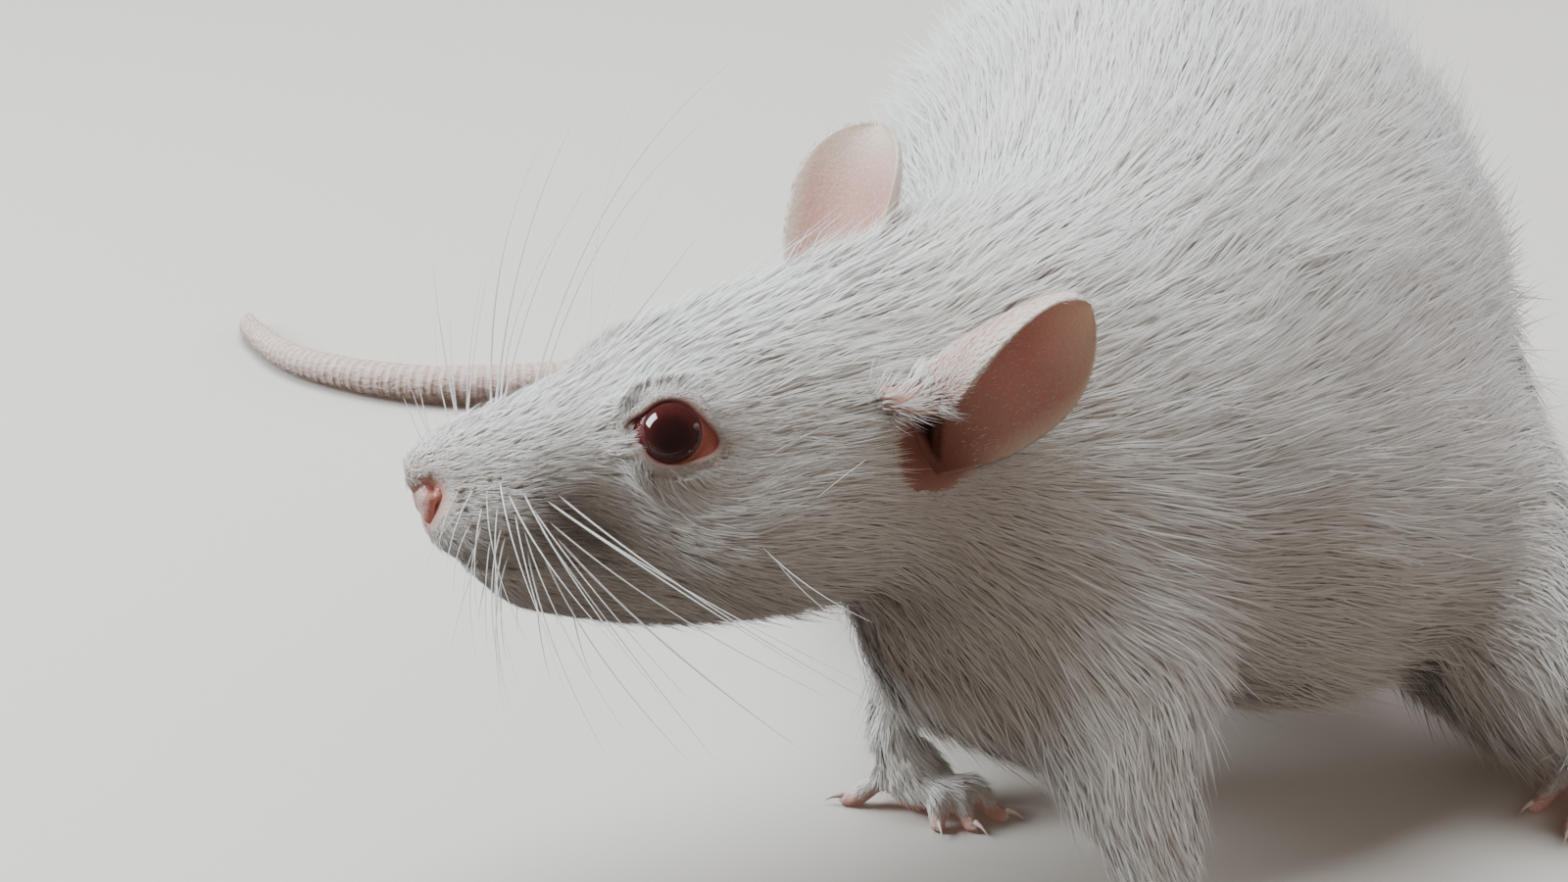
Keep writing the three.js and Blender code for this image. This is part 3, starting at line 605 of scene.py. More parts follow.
LID_RADIUS, LID_HEIGHT = 2.9, 1.9
FRONT_CORNER, REAR_CORNER = radians(12), radians(203)
EYE_REACH, EYE_BACK = 11, -6  # mm: how far round an eye its socket moves the skin, and how far behind it


def lid_edge(angle):
    """Radius and height of the lid's edge: a circle drawn out to a corner in front and a longer one
    behind, and lower in both corners."""
    front = bell((angle - FRONT_CORNER + pi) % (2 * pi) - pi, 0.34)
    rear = bell((angle - REAR_CORNER + pi) % (2 * pi) - pi, 0.46)
    return LID_RADIUS + 1.15 * front + 1.35 * rear, LID_HEIGHT - 0.85 * front - 0.8 * rear


def level_round(r, angle, h, reach, count=24):
    """The skin's mean height on a ring round the eye, as a function of angle, from the points near it."""
    near = (abs(r - reach) < 0.7) & (h > EYE_BACK)
    edges = np.linspace(-pi, pi, count + 1)
    sector = np.digitize(angle[near], edges) - 1
    level = np.bincount(sector, h[near], count) / np.maximum(np.bincount(sector, minlength=count), 1)
    return lambda a: np.interp(a, (edges[:-1] + edges[1:]) / 2, level, period=2 * pi)


# %% Sockets
F = to_head(P)
for side in (1, -1):
    look = eye_axes(side)[0]
    r, angle, h = in_eye(F, side)
    opening, rim = lid_edge(angle)
    level = level_round(r, angle, h, opening + 0.5)(angle)
    lifted = h + (rim - 0.35 - level) * bell(np.maximum(r - opening, 0), 2.9)
    inside = blend(opening - r, -0.1, 0.25)
    lifted = lifted * (1 - inside) + np.minimum(lifted, 0.2) * inside
    near = (r < EYE_REACH) & (h > EYE_BACK)
    F[near] += (lifted - h)[near, None] * look
print("lid edge is", lid_edge(np.array([0.2, 1.6, 3.5]))[0].round(2), "mm from the eye's axis")

# %% Mouth, chin and nostril groove
N = normals_of(in_head(F), Q) @ HEAD.T
x, y, z = F.T
MOUTH_LINE = ([2, 5, 10, 16, 20, 23], [-13.8, -13.1, -12.8, -12.6, -12.2, -11.6])
mouth_z = np.interp(x, *MOUTH_LINE)
mouth = bell(z - mouth_z, 0.5) * blend(x, 3.0, 5.5) * blend(-x, -21.5, -17) * (abs(N[:, 2]) < 0.95)
cleft = bell(y, 0.42) * blend(x, 17.5, 19) * blend(-z, 8.0, 8.8) * blend(z, -12.2, -11.4)
pads = bell(np.hypot(x - 14.2, z + 7.8), 4.6) * (abs(y) > 1.5)
behind_pads = bell(np.hypot((x - 7.2) / 1.0, (z + 8.4) / 1.5), 2.9) * (abs(y) > 1.5)
upper_lip = bell(np.linalg.norm((F - [19.6, 0, -10.2]) / [2.6, 4.5, 2.2], axis=1), 1.0)
chin = bell(np.linalg.norm((F - [17.5, 0, -15.2]) / [4.2, 5, 2.8], axis=1), 1.0)
inward = 0.75 * mouth + 0.5 * cleft - 0.45 * pads + 1.1 * behind_pads - 0.85 * upper_lip + 1.2 * chin
F = F - N * inward[:, None]

# %% A seat for the nose pad, under a furred tip
NOSE_CENTRE, NOSE_RADII = np.array([19.95, 0, -5.75]), np.array([2.1, 3.7, 2.9])
tip = bell(np.linalg.norm((F - [22.2, 0, -2.7]) / [1.6, 2.4, 1.6], axis=1), 1.0)
F = F + N * (0.4 * tip)[:, None]
inside_pad = np.linalg.norm((F - NOSE_CENTRE) / NOSE_RADII, axis=1)
seat = blend(-inside_pad, -1.42, -1.05) * (F[:, 2] < -2.8)
F = F + (NOSE_CENTRE - F) * (seat * 0.42)[:, None]

# %% Ear bowls
BOWLS = {"ear_left": ([-22.7, 13, -4.0], [0.05, -0.95, 0.25], 4.2, 2.1),
         "ear_right": ([-20.6, -11.2, 2.2], [-0.55, 0.5, -0.6], 3.4, 1.8)}
bowl_depth = np.zeros(len(F))
for centre, inward, radius, depth in BOWLS.values():
    distance = np.linalg.norm(F - centre, axis=1)
    move = depth * bell(distance, radius)
    bowl_depth = np.maximum(bowl_depth, move / depth)
    F = F + np.outer(move, unit(inward))
F = F + np.outer(EAR_PIT_DEPTH * in_ear_pit(F), unit(BOWLS["ear_left"][1]))
P = in_head(F)
print("deepest mouth crease:", mouth.max().round(2))
print("points in the ear bowls:", int((bowl_depth > 0.5).sum()))

# %% Lids
LID_AROUND = 96


def lid(side):
    """A ring round the eye, angle by rows. From inside out its rows are a hem that hugs the ball, the wet
    edge, the rim's crest and a skirt that sinks into the skin. Heights are read along the eye's axis."""
    angle = angles_round(LID_AROUND)
    opening, rim = lid_edge(angle)
    r, a, h = in_eye(to_head(P), side)
    near_skin = level_round(r, a, h, lid_edge(a)[0] + 0.9)(angle)
    far_skin = level_round(r, a, h, lid_edge(a)[0] + 1.9)(angle)

    def on_ball(radius):
        return np.sqrt(EYE_RADIUS**2 - radius**2)

    def above(radius, height, gap):
        over_ball = on_ball(np.minimum(radius, 3.2)) + gap
        return np.maximum(height, np.where(radius < EYE_RADIUS - 0.05, over_ball, height))

    same = 0 * angle
    rows = [(2.5 + same, on_ball(2.5) - 0.25 + same), (2.8 + same, on_ball(2.8) + 0.02 + same)]
    wet = opening - 0.1
    rows.append((np.minimum(wet, 3.0), above(np.minimum(wet, 3.0), on_ball(3.0) + same, 0.03)))
    rows.append((wet, above(wet, rim - 0.22, 0.04)))
    rows.append((opening - 0.02, above(opening, rim - 0.02, 0.08)))
    rows.append((opening + 0.16, above(opening, rim + 0.10, 0.16)))
    rows.append((opening + 0.42, rim + 0.04))
    rows.append((opening + 0.9, 0.5 * (rim - 0.1) + 0.5 * near_skin))
    rows.append((opening + 1.9, far_skin - 0.3))
    radius, height = (np.array([row[k] for row in rows]) for k in (0, 1))
    faces = grid_faces(len(rows), LID_AROUND)
    return from_eye(radius, angle, height, side), faces if side < 0 else faces[:, ::-1]


lids = [lid(side) for side in (1, -1)]
print("each lid has", len(lids[0][0]), "points")

# %% [markdown]
# ## Fewer faces where the coat hides them
# The voxel surface has the same tiny cells everywhere. A face needs them, a flank under long hair
# does not, so a Decimate modifier thins the flank hard and the head, ears and feet gently. The
# thinning follows a vertex group: 1 where cells may go, near 0 where they must stay.

# %% Thin the skin
skin = make_piece("skin", P, Q)
face_distance = np.linalg.norm(F - [8, 0, -4], axis=1)
bowl_distance = np.linalg.norm(F - BOWLS["ear_left"][0], axis=1)
keep = np.maximum.reduce([bell(np.maximum(face_distance - 12, 0), 9),
                          bell(np.maximum(bowl_distance - 5, 0), 3),
                          bell(np.maximum(P[:, 2] - 4, 0), 4),
                          bell(size / 3.5, 1)])
may_go = skin.vertex_groups.new(name="may go")
GRADES, LEAST_WEIGHT = 12, 0.05
for k in range(GRADES + 1):
    members = np.flatnonzero(np.round((1 - keep) * GRADES) == k)
    if len(members):
        may_go.add(members.tolist(), LEAST_WEIGHT + 0.95 * k / GRADES, "REPLACE")
SKIN_TRIANGLES = 145000
thin = skin.modifiers.new("thin", "DECIMATE")
thin.ratio = SKIN_TRIANGLES / (2 * len(Q))
thin.vertex_group = "may go"
thin.vertex_group_factor = 4.0
thin.use_collapse_triangulate = True
P, corners = with_modifiers(skin)
T = corners.reshape(-1, 3)
print("thinned skin:", len(P), "points,", len(T), "triangles")

# %% [markdown]
# ## One mesh for skin, lids and ears
# The lids and the thin ears need finer cells than voxels give, so they are grids of their own whose
# lower edges dip under the skin. Joined into the same mesh they shade as one, and the coat hides
# where they meet.

# %% Join lids and ears to the skin
leaves = [ear_leaf(ear) for ear in EARS.values()]
ear_pit = np.concatenate([pit for points, faces, pit in leaves])
extra_points, extra_faces = joined(lids + [leaf[:2] for leaf in leaves])
LID_START = len(P)
EAR_START = LID_START + sum(len(points) for points, faces in lids)
skin = make_piece("skin", np.vstack([P, extra_points]), [T, extra_faces + LID_START])
FLESH = [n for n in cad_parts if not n.startswith(("eye", "nose"))]
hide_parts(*FLESH)
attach(skin, "root")
print("the skin replaces", len(FLESH), "nodes")

# %% [markdown]
# ## Eyes
# An albino's iris has no pigment, so the blood behind it makes the eye a deep ruby. The ball is a
# sphere laid out round its own looking direction, with the cornea bulging a little at the front.
# How far a point is from that direction is kept on the mesh, and the material grows lighter with it,
# from the dark pupil out to the rim.


# %% Eyeballs
UNDER_LID, CORNEA_BULGE = 0.04, 0.1  # mm


def eyeball(side, rings=56, around=72):
    """A sphere round the looking direction: at angle a from it the point is R cos a along, R sin a out.
    The cornea bulges over the middle. Also returns a as a share of half a turn."""
    a = np.linspace(0, pi, rings)[:, None]
    b = angles_round(around)
    radius = EYE_RADIUS - UNDER_LID + CORNEA_BULGE * bell(a, 0.55)
    points = from_eye(radius * np.sin(a), b, radius * np.cos(a) + 0 * b, side)
    faces = grid_faces(rings, around)
    share = np.repeat(a[:, 0] / pi, around)
    return points, faces if side > 0 else faces[:, ::-1], share


def keep_number(piece, name, values):
    """Stores one number for each point on the mesh, under a name that a material can read."""
    layer = piece.data.attributes.new(name, "FLOAT", "POINT")
    layer.data.foreach_set("value", np.asarray(values, np.float32))


eyes = []
for side, name in ((1, "eye_left"), (-1, "eye_right")):
    ball_points, ball_faces, gaze = eyeball(side)
    eye = make_piece("ball_of_" + name, ball_points, ball_faces)
    keep_number(eye, "gaze", gaze)
    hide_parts(name)
    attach(eye, "root")
    eyes.append(eye)
print("eyeballs:", [len(e.data.polygons) for e in eyes], "faces each")

# %% [markdown]
# ## Nose pad
# The bare tip of the nose is a small cushion split by a groove, with a nostril on each side like a
# comma: a deep hole below that trails off in a slot above. It is a squashed ball whose radius is
# lowered by bells at those places. How deep each point sits is kept too, because the hollows are
# painted a darker red: painted shade in the holes and the groove.


# %% Nose pad
def nose_pad(rings=84, around=120):
    """An egg round the head's forward axis, lowered by the groove and, on each side, by a nostril and
    its slot. Also returns how deep each point lies and whether it faces the front."""
    ball = unit_ball(rings, around)
    p = ball * NOSE_RADII
    x, y, z = p[:, 0], abs(p[:, 1]), p[:, 2]
    facing = ball[:, 0] > -0.45
    pit = bell(np.hypot((x - 0.45) / 0.6, (z + 0.8) / 1.1), 0.75) * (y > 1.2)
    slot = bell(np.hypot((x - 0.9) / 0.5, (z - 1.2) / 0.9), 0.6) * (y > 1.2)
    groove = bell(p[:, 1], 0.24) * blend(-z, -1.2, 0.2)
    wing = bell(np.hypot(y - 2.1, z - 0.1), 0.7)
    lobe = bell(np.hypot(y - 1.6, z + 2.0), 0.75)
    down = (1.2 * pit + 0.5 * slot + 0.5 * groove) * facing
    rise = (0.15 * wing + 0.3 * lobe) * facing
    grain = 0.035 * noise(p, 0.42, 3) * (1 - pit)
    p = p + ball * (rise - down + grain)[:, None]
    front = blend(ball[:, 0], 0.5, 0.85)
    return in_head(NOSE_CENTRE + p), grid_faces(rings, around), np.clip(down, 0, 1), front


nose_points, nose_faces, nose_hollow_shade, nose_front = nose_pad()
nose = make_piece("nose_pad", nose_points, nose_faces)
# How deep each point lies, kept for the painted shade in the nose's hollows.
keep_number(nose, "hollow", nose_hollow_shade)
keep_number(nose, "front", nose_front)
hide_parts("nose")
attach(nose, "root")
print("nose pad:", len(nose.data.polygons), "faces")

# %% [markdown]
# ## Claws
# Each toe ends in a small curved claw. A claw is a cone bent down along an arc: the middle line
# falls as the square of the way along it, and the radius shrinks in a straight line to a blunt tip.


# %% Claws
CLAW_LENGTH, CLAW_RADIUS = 2.2, 0.40


def claw(foot, tip, rings=9, around=12):
    """A bent cone out of the end of a toe: middle = start + ahead L s + up (0.5 s - 1.2 s squared)."""
    rows = toe_rows(foot, tip)
    last, before = rows[-1][:3], rows[-2][:3]
    ahead = unit((last - before) * [1, 1, 0])
    side = np.array([-ahead[1], ahead[0], 0])
    s = np.linspace(0, 1, rings)[:, None]
    start = last * [1, 1, 0] + [0, 0, 1.0] - ahead * 0.7
    middle = start + ahead * CLAW_LENGTH * s + np.array([0, 0, 1]) * (0.5 * s - 1.2 * s**2)
    radius = CLAW_RADIUS * (1 - 0.93 * s)
    radius[0], radius[-1] = 0.01, 0.01
    b = angles_round(around)
    points = (middle[:, None] + (radius * np.cos(b))[..., None] * side * 0.8
              + (radius * np.sin(b))[..., None] * np.array([0, 0, 1]))
    return points.reshape(-1, 3), grid_faces(rings, around)


claws = make_piece("claws", *joined(claw(foot, tip) for foot in FEET.values() for tip in foot["toes"]))
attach(claws, "root")
print("claws:", len(claws.data.polygons), "faces")

# %% [markdown]
# ## Whiskers
# Whiskers stand in rows on the pads beside the nose, short in front and long behind, and a few grow
# over the eye and on the cheek. A whisker is a tapered tube on a bent line. The line's end is set by
# where the whisker sits on its pad: the upper rows sweep up, the lower rows sweep down, and the rear
# ones reach farthest back.


# %% Whisker tubes
def surface_at(x, z, side):
    """The skin's point at x and z of the head's frame, on one side of the face."""
    h = to_head(P)
    score = (h[:, 0] - x) ** 2 + (h[:, 2] - z) ** 2 + 1e3 * (h[:, 1] * side < 0.5)
    near = np.argsort(score)[:8]
    return h[near].mean(0)


def tubes(roots, tips, bends, radii, rings=17, around=6):
    """Tapered tubes along parabolas: middle = root + (tip - root) s + bend 4 s (1 - s), and radius =
    r (1 - s) to the power 0.8. All tubes are worked out in one array of whisker by ring by side."""
    s = np.linspace(0, 1, rings)
    straight = roots[:, None] + (tips - roots)[:, None] * s[:, None]
    middle = straight + bends[:, None] * (4 * s * (1 - s))[:, None]
    ahead = unit(np.gradient(middle, axis=1))
    side = unit(np.cross(ahead, np.array([0.1, 0.2, 1.0])))
    top = np.cross(side, ahead)
    r = radii[:, None] * (1 - s) ** 0.8 + 0.012
    r[:, 0], r[:, -1] = 0.004, 0.004
    b = angles_round(around)
    points = (middle[:, :, None] + (r[..., None] * np.cos(b))[..., None] * side[:, :, None]
              + (r[..., None] * np.sin(b))[..., None] * top[:, :, None])
    faces = grid_faces(rings, around)
    count = rings * around
    faces = (faces[None] + np.arange(len(roots))[:, None, None] * count).reshape(-1, 4)
    return points.reshape(-1, 3), faces, np.tile(np.repeat(s, around), len(roots))


# Rows on the pad from top to bottom: height of the row, and how many whiskers stand in it.
PAD_ROWS = [(-4.4, 4), (-5.8, 5), (-7.3, 7), (-8.9, 7), (-10.7, 6)]
ROOT_STEP, ROW_CLIMB = 1.25, 0.38  # from one whisker to the next: mm back, and mm up
ROOT_DEPTH = 0.4  # mm under the skin
SHORTEST, GROWTH = 8, 27  # mm: a whisker by the nose, and how much longer the rear ones are
# The rat is sweeping its whiskers. Each side has the direction of its front whiskers, that of its rear
# ones, and how far the top row turns up from the middle one.
SWEEP = {1: ([0.50, 0.50, -0.72], [-0.80, 0.60, -0.42], 0.20),
         -1: ([0.10, -0.50, 0.80], [-0.62, -0.45, 0.85], 0.10)}
# A pair over the eye, two on the cheek and a few under the chin: x, z, direction and length.
LONE_WHISKERS = [(5.5, 5.6, [-0.35, 0.62, 0.7], 20), (4.4, 5.2, [-0.5, 0.62, 0.55], 15),
                 (-6, -9.5, [-0.6, 0.8, -0.45], 14), (-7, -10.5, [-0.5, 0.7, -0.6], 10),
                 (15, -14.4, [0.1, 0.45, -0.8], 7), (12, -15.4, [0.0, 0.4, -0.85], 8),
                 (9, -16.4, [-0.1, 0.4, -0.85], 7)]
LONE_RADIUS = 0.055
roots, tips, bends, radii, beds = [], [], [], [], []
for side in (1, -1):
    for row, (height, count) in enumerate(PAD_ROWS):
        for k in range(0, count, 1 if side > 0 else 2):
            share = k / 6  # 0 at the nose, 1 at the rear of the pad
            root = surface_at(18.6 - ROOT_STEP * k - 0.3 * row + RNG.uniform(-0.3, 0.3),
                              height + ROW_CLIMB * k + RNG.uniform(-0.22, 0.22), side)
            length = (SHORTEST + GROWTH * share**1.1 + RNG.uniform(-2, 2.5)) * (1 if side > 0 else 1.2)
            spread = (2 - row) / 2  # 1 in the top row, -1 in the bottom row
            front_way, rear_way, turn_up = SWEEP[side]
            way = unit(np.array(front_way) * (1 - share) + np.array(rear_way) * share
                       + [0, 0, turn_up * spread] + RNG.uniform(-0.16, 0.16, 3))
            bow = np.cross(way, [side * 0.35, 0.3, 1.0]) * side
            roots.append(root - way * ROOT_DEPTH)
            tips.append(root + way * length)
            bends.append(unit(bow) * length * RNG.uniform(0.02, 0.09) + np.array([0, 0, length * 0.045]))
            radii.append((0.05 + 0.055 * share) * RNG.uniform(0.7, 1.25) * (1 if side > 0 else 1.25))
            beds.append(root)
    for x, z, way, length in LONE_WHISKERS:
        root = surface_at(x, z, side)
        way = unit(np.array(way) * [1, side, 1])
        length *= 1.5 if side < 0 and z > 0 else 1
        roots.append(root - way * ROOT_DEPTH)
        tips.append(root + way * length)
        bends.append(np.cross(way, [side * 0.3, 0.2, 1.0]) * side * length * 0.06)
        radii.append(LONE_RADIUS)
# One long hair stands across the front of the left ear.
roots.append(np.array([-17.5, 13.4, -3.2]))
tips.append(np.array([-10.5, 18.5, -5.0]))
bends.append(np.array([0, 0.6, 0.4]))
radii.append(0.05)
roots, tips = in_head(roots), in_head(tips)
FLOOR_CLEAR = 3.0
tips[:, 2] = np.maximum(tips[:, 2], FLOOR_CLEAR)
whisker_points, whisker_faces, whisker_share = tubes(roots, tips, np.array(bends) @ HEAD, np.array(radii))
whiskers = make_piece("whiskers", whisker_points, whisker_faces)
keep_number(whiskers, "tip", whisker_share)
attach(whiskers, "root")
print("whiskers:", len(roots), "box", whisker_points.min(0).round(), whisker_points.max(0).round())

# %% [markdown]
# ## Whisker beds
# Each whisker grows out of a small dark swelling, and in rows these make the dotted lines on a
# rat's muzzle. A swelling is a low dome. One dome of six rings is worked out once and then placed
# at all roots in one step.

# %% Domes at the whisker roots
beds = np.array(beds)
bed_out = unit(beds - np.array([12, 0, -6]))
a = np.linspace(0, pi, 6)[:, None]
b = angles_round(8)
dome = np.stack([np.sin(a) * np.cos(b), np.sin(a) * np.sin(b), np.cos(a) + 0 * b], -1).reshape(-1, 3)
first = unit(np.cross(bed_out, [0.0, 0.0, 1.0]))
second = np.cross(bed_out, first)
BED_RADIUS, BED_HEIGHT, BED_RISE = 0.35, 0.26, 0.13
bed_points = (beds[:, None] + bed_out[:, None] * BED_RISE + BED_RADIUS * dome[None, :, :1] * first[:, None]
              + BED_RADIUS * dome[None, :, 1:2] * second[:, None]
              + BED_HEIGHT * dome[None, :, 2:] * bed_out[:, None])
bed_faces = grid_faces(6, 8)[:, ::-1][None] + np.arange(len(beds))[:, None, None] * len(dome)
whisker_beds = make_piece("whisker_beds", in_head(bed_points.reshape(-1, 3)), bed_faces.reshape(-1, 4))
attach(whisker_beds, "root")
print("whisker beds:", len(beds))

# %% [markdown]
# ## Where hair grows, how long and which way
# Three things are worked out for every point of the skin before a single hair is made: its normal,
# the way the hair lies, and the hair's length. The coat runs from nose to tail along the lines of
# the body, parts round the eyes, and shrinks to nothing on the nose, the lids, inside the ears and
# under the feet. How bare the skin is goes to the material as well, so that hair and skin agree.

# %% Growth maps
def near_points(p, others, reach, block=2000):
    """The distance from each point to the nearest of the others, or the reach where none is so near."""
    out = np.full(len(p), float(reach))
    close = np.flatnonzero(((p > others.min(0) - reach) & (p < others.max(0) + reach)).all(1))
    for i in range(0, len(close), block):
        k = close[i:i + block]
        square = (p[k] ** 2).sum(1)[:, None] + (others**2).sum(1)[None] - 2 * p[k] @ others.T
        out[k] = np.minimum(reach, np.sqrt(np.maximum(square.min(1), 0)))
    return out


S = points_of(skin.data)
SF = to_head(S)
flat_normals = np.empty(len(S) * 3, np.float32)
skin.data.vertices.foreach_get("normal", flat_normals)
SN = flat_normals.reshape(-1, 3).astype(float)
best, flow, hair = on_lines(S)
line_no = SAMPLES[best, LINE].astype(int)
is_lid = (np.arange(len(S)) >= LID_START) & (np.arange(len(S)) < EAR_START)
is_ear = np.arange(len(S)) >= EAR_START
BARE_TAIL, FOOT_TOP = 2.6, 9  # mm: hair shorter than this on the tail, and how high the feet reach
is_tail = (line_no == NAMES.index("tail")) & (hair < BARE_TAIL) & ~is_ear & ~is_lid
foot_lines = [k for k, name in enumerate(NAMES) if name.startswith(tuple(FEET))]
is_foot = np.isin(line_no, foot_lines) & (S[:, 2] < FOOT_TOP) & ~is_lid & ~is_ear
is_head = np.isin(line_no, [NAMES.index("skull"), NAMES.index("jaw")]) & ~is_ear

RIM_CLEAR = 0.12  # mm from the lid's edge to the first hair
bare, wet, rear_corner, rim_shade = np.zeros((4, len(S)))
for side in (1, -1):
    look, forward, up = eye_axes(side)
    r, angle, h = in_eye(SF, side)
    opening, rim = lid_edge(angle)
    near = h > -4
    hair = np.where(near, np.minimum(hair, np.maximum(0, 1.2 + 0.7 * (r - opening - RIM_CLEAR))), hair)
    hair = np.where(near & (r < opening + RIM_CLEAR), 0, hair)
    radial = (np.cos(angle)[:, None] * forward + np.sin(angle)[:, None] * up) @ HEAD
    flow = flow + radial * (1.0 * bell(np.maximum(r - 3, 0), 2.6) * near)[:, None]
    bare = np.maximum(bare, 0.45 * bell(np.maximum(r - opening - 0.1, 0), 0.35) * near)
    wet = np.maximum(wet, blend(opening - r, -0.06, 0.12) * near)
    in_opening = blend(opening - r, -0.5, 0) * near
    rear_corner = np.maximum(rear_corner, blend(-np.cos(angle), -0.2, 0.4) * in_opening)
    rim_shade = np.maximum(rim_shade, 0.5 * bell(np.maximum(r - opening, 0), 0.5) * near)

nose_distance = np.linalg.norm((SF - NOSE_CENTRE) / (NOSE_RADII + 0.25), axis=1)
hair = np.where(nose_distance < 1.03, 0, np.minimum(hair, 0.5 + 1.4 * np.maximum(0, nose_distance - 1.0)))
bare = np.maximum(bare, bell(np.maximum(nose_distance - 1.0, 0), 0.16))
lips = bell(SF[:, 2] - np.interp(SF[:, 0], *MOUTH_LINE), 0.45)
bare = np.maximum(bare, 0.75 * lips * is_head * blend(SF[:, 0], 3, 6))

# hollow is painted shade: the skin is painted near black in the ear bowls, in the way into the left ear and
# at the ear's buried base.
hollow = np.zeros(len(S))
flush = np.zeros(len(S))
for name, (centre, inward, radius, depth) in BOWLS.items():
    distance = np.linalg.norm(SF - (np.array(centre) + 0.6 * depth * unit(inward)), axis=1)
    outside = distance - radius * 0.92
    hair = np.where(outside < 0, 0, np.minimum(hair, 0.6 + np.maximum(outside, 0)))
    bare = np.maximum(bare, bell(np.maximum(distance - radius * 0.9, 0), 0.8))
    flush = np.maximum(flush, bell(distance, radius * 1.25))
    hollow = np.maximum(hollow, 0.4 * bell(distance, radius * 0.8))

# Painted shade on the face: the shade between pad and cheek, which shows between thin short hairs, and
# the shade under the mouth and chin, weaker on the right side and joined with the shade round the lids:
# [x, z, reach along, reach up, strength].
PAINTED_SHADE_SPOTS = [[10.2, -7.4, 3.2, 2.6, 0.9], [8.0, -10.0, 2.8, 2.2, 0.65], [12.8, -4.6, 1.6, 2.2, 0.4],
         [14.6, -8.4, 4.2, 3.0, 0.35], [8.0, -14.5, 5.0, 3.0, 0.4]]
dusk = sum(strength * bell(np.hypot((SF[:, 0] - x) / along, (SF[:, 2] - z) / up), 1.0)
           for x, z, along, up, strength in PAINTED_SHADE_SPOTS) * np.where(SF[:, 1] > 0, 1, 0.4)
dusk = np.maximum(np.clip(dusk * (1 + 0.35 * noise(S, 1.4, 8)), 0, 1) * is_head, rim_shade)

# The way into the left ear is painted near black on the head's skin too: painted shade in the pit.
hollow = np.maximum(hollow, np.where(is_ear, 0, in_ear_pit(SF)))
ear_along = np.tile((EAR_ALONG + 0 * EAR_ACROSS).ravel(), 2)
ear_across = np.tile((EAR_ACROSS + 0 * EAR_ALONG).ravel(), 2)
ear_outer = np.tile((EAR_OUTER + 0 * EAR_ALONG).ravel(), 2) < 0
EAR_SURROUND, EAR_BARE = 12, 0.6  # mm round the left ear: where its hair is short, and where it is none
cream = np.zeros(len(S))
cream_edge = blend(abs(ear_across), 0.72, 1.0) * blend(ear_along, 0.1, 0.5)
cream[is_ear] = np.maximum(blend(ear_along, 0.62, 1.0), cream_edge)
flushed = 0.9 * blend(-ear_along, -0.55, 0.0) + 0.3 * bell(ear_across - 0.2, 0.35)
flush[is_ear] = np.where(ear_outer, 0, flushed)
# Inside the ear the pit and the buried base are painted dark: painted shade.
hollow[is_ear] = np.where(ear_outer, 0, np.maximum(ear_pit, 0.45 * blend(-ear_along, -0.32, -0.02)))
near_ear = near_points(S, S[EAR_START::7], EAR_SURROUND)
left_only = ~is_ear & (SF[:, 1] > 0)
in_front = blend(SF[:, 0], -22.0, -20.0) * blend(SF[:, 2], -5.0, -3.0)
beside_ear = 0.6 + 1.1 * np.maximum(near_ear - EAR_BARE, 0) + 3.5 * in_front
hair = np.where(left_only, np.minimum(hair, beside_ear), hair)
hair = np.where(left_only & (near_ear < EAR_BARE), 0, hair)
ear_axes = [unit(np.array(ear["axis"]) @ HEAD) for ear in EARS.values()]
ear_foot = blend(-ear_along, -0.14, 0.02)
hair[is_ear] = np.where(ear_outer, 1.5 - 0.8 * ear_along + 2.6 * ear_foot, 0.7)
hair[is_ear] *= (ear_along > 0.16) | (ear_across > np.where(ear_outer, -0.3, 0.5))
flow[is_ear] = np.repeat(ear_axes, EAR_ROWS * EAR_AROUND, axis=0)
bare[is_ear] = 1
wet[is_ear] = 0
bare[is_tail] = np.clip(1.5 - 0.5 * hair[is_tail], 0, 1)
bare[is_foot] = np.clip(1.35 - 0.30 * S[is_foot, 2], 0.15, 1)
hair[is_foot] = np.where(SN[is_foot, 2] < -0.35, 0, np.clip(0.45 * S[is_foot, 2], 0.5, 2.2))
flow = unit(flow - SN * (flow * SN).sum(1, keepdims=True))
print("hair longest", hair.max().round(1), "mm; bare points", int((bare > 0.5).sum()), "of", len(S))

# %% [markdown]
# ## Tufts
# One real hair is a twentieth of a millimetre thick, far too fine to model in its hundreds of
# thousands, but a coat is not seen hair by hair: neighbouring hairs stick together in flat pointed
# tufts. Each tuft is a strip of a quad and a triangle that rises from the skin, bends over and lies
# along the coat, and its tip leans to the middle of its clump. Hairs on a face are short,
# thin and crowded, and those on a back long and broad, so the crowding follows the length.


# %% Growing roots
def scattered(count, weight):
    """Random places on the skin: a triangle for each, picked in proportion to its weight by reading the
    running total at evenly spaced steps, and three shares of its corners that add to one."""
    total = np.cumsum(weight)
    picks = np.searchsorted(total, (np.arange(count) + RNG.random(count)) / count * total[-1])
    a, b = RNG.random((2, count))
    over = a + b > 1
    a, b = np.where(over, 1 - a, a), np.where(over, 1 - b, b)
    return np.minimum(picks, len(weight) - 1), np.stack([1 - a - b, a, b], 1)


def clump_centre(p, size):
    """The nearest of many scattered points, one at a random place in every cell of a lattice."""
    cell = np.floor(p / size).astype(np.int64)
    nearest = np.full(len(p), np.inf)
    centre = np.zeros_like(p)
    for step in np.ndindex(3, 3, 3):
        c = cell + np.array(step) - 1
        jitter = np.stack([lattice_number(c, k) / LATTICE_MOST for k in range(3)], 1)
        q = (c + jitter) * size
        d = ((p - q) ** 2).sum(1)
        closer = d < nearest
        nearest = np.where(closer, d, nearest)
        centre = np.where(closer[:, None], q, centre)
    return centre


def turned(v, axis, angle):
    """Vectors turned about unit axes they are square to: v cos a + (axis x v) sin a."""
    return v * np.cos(angle)[:, None] + np.cross(axis, v) * np.sin(angle)[:, None]


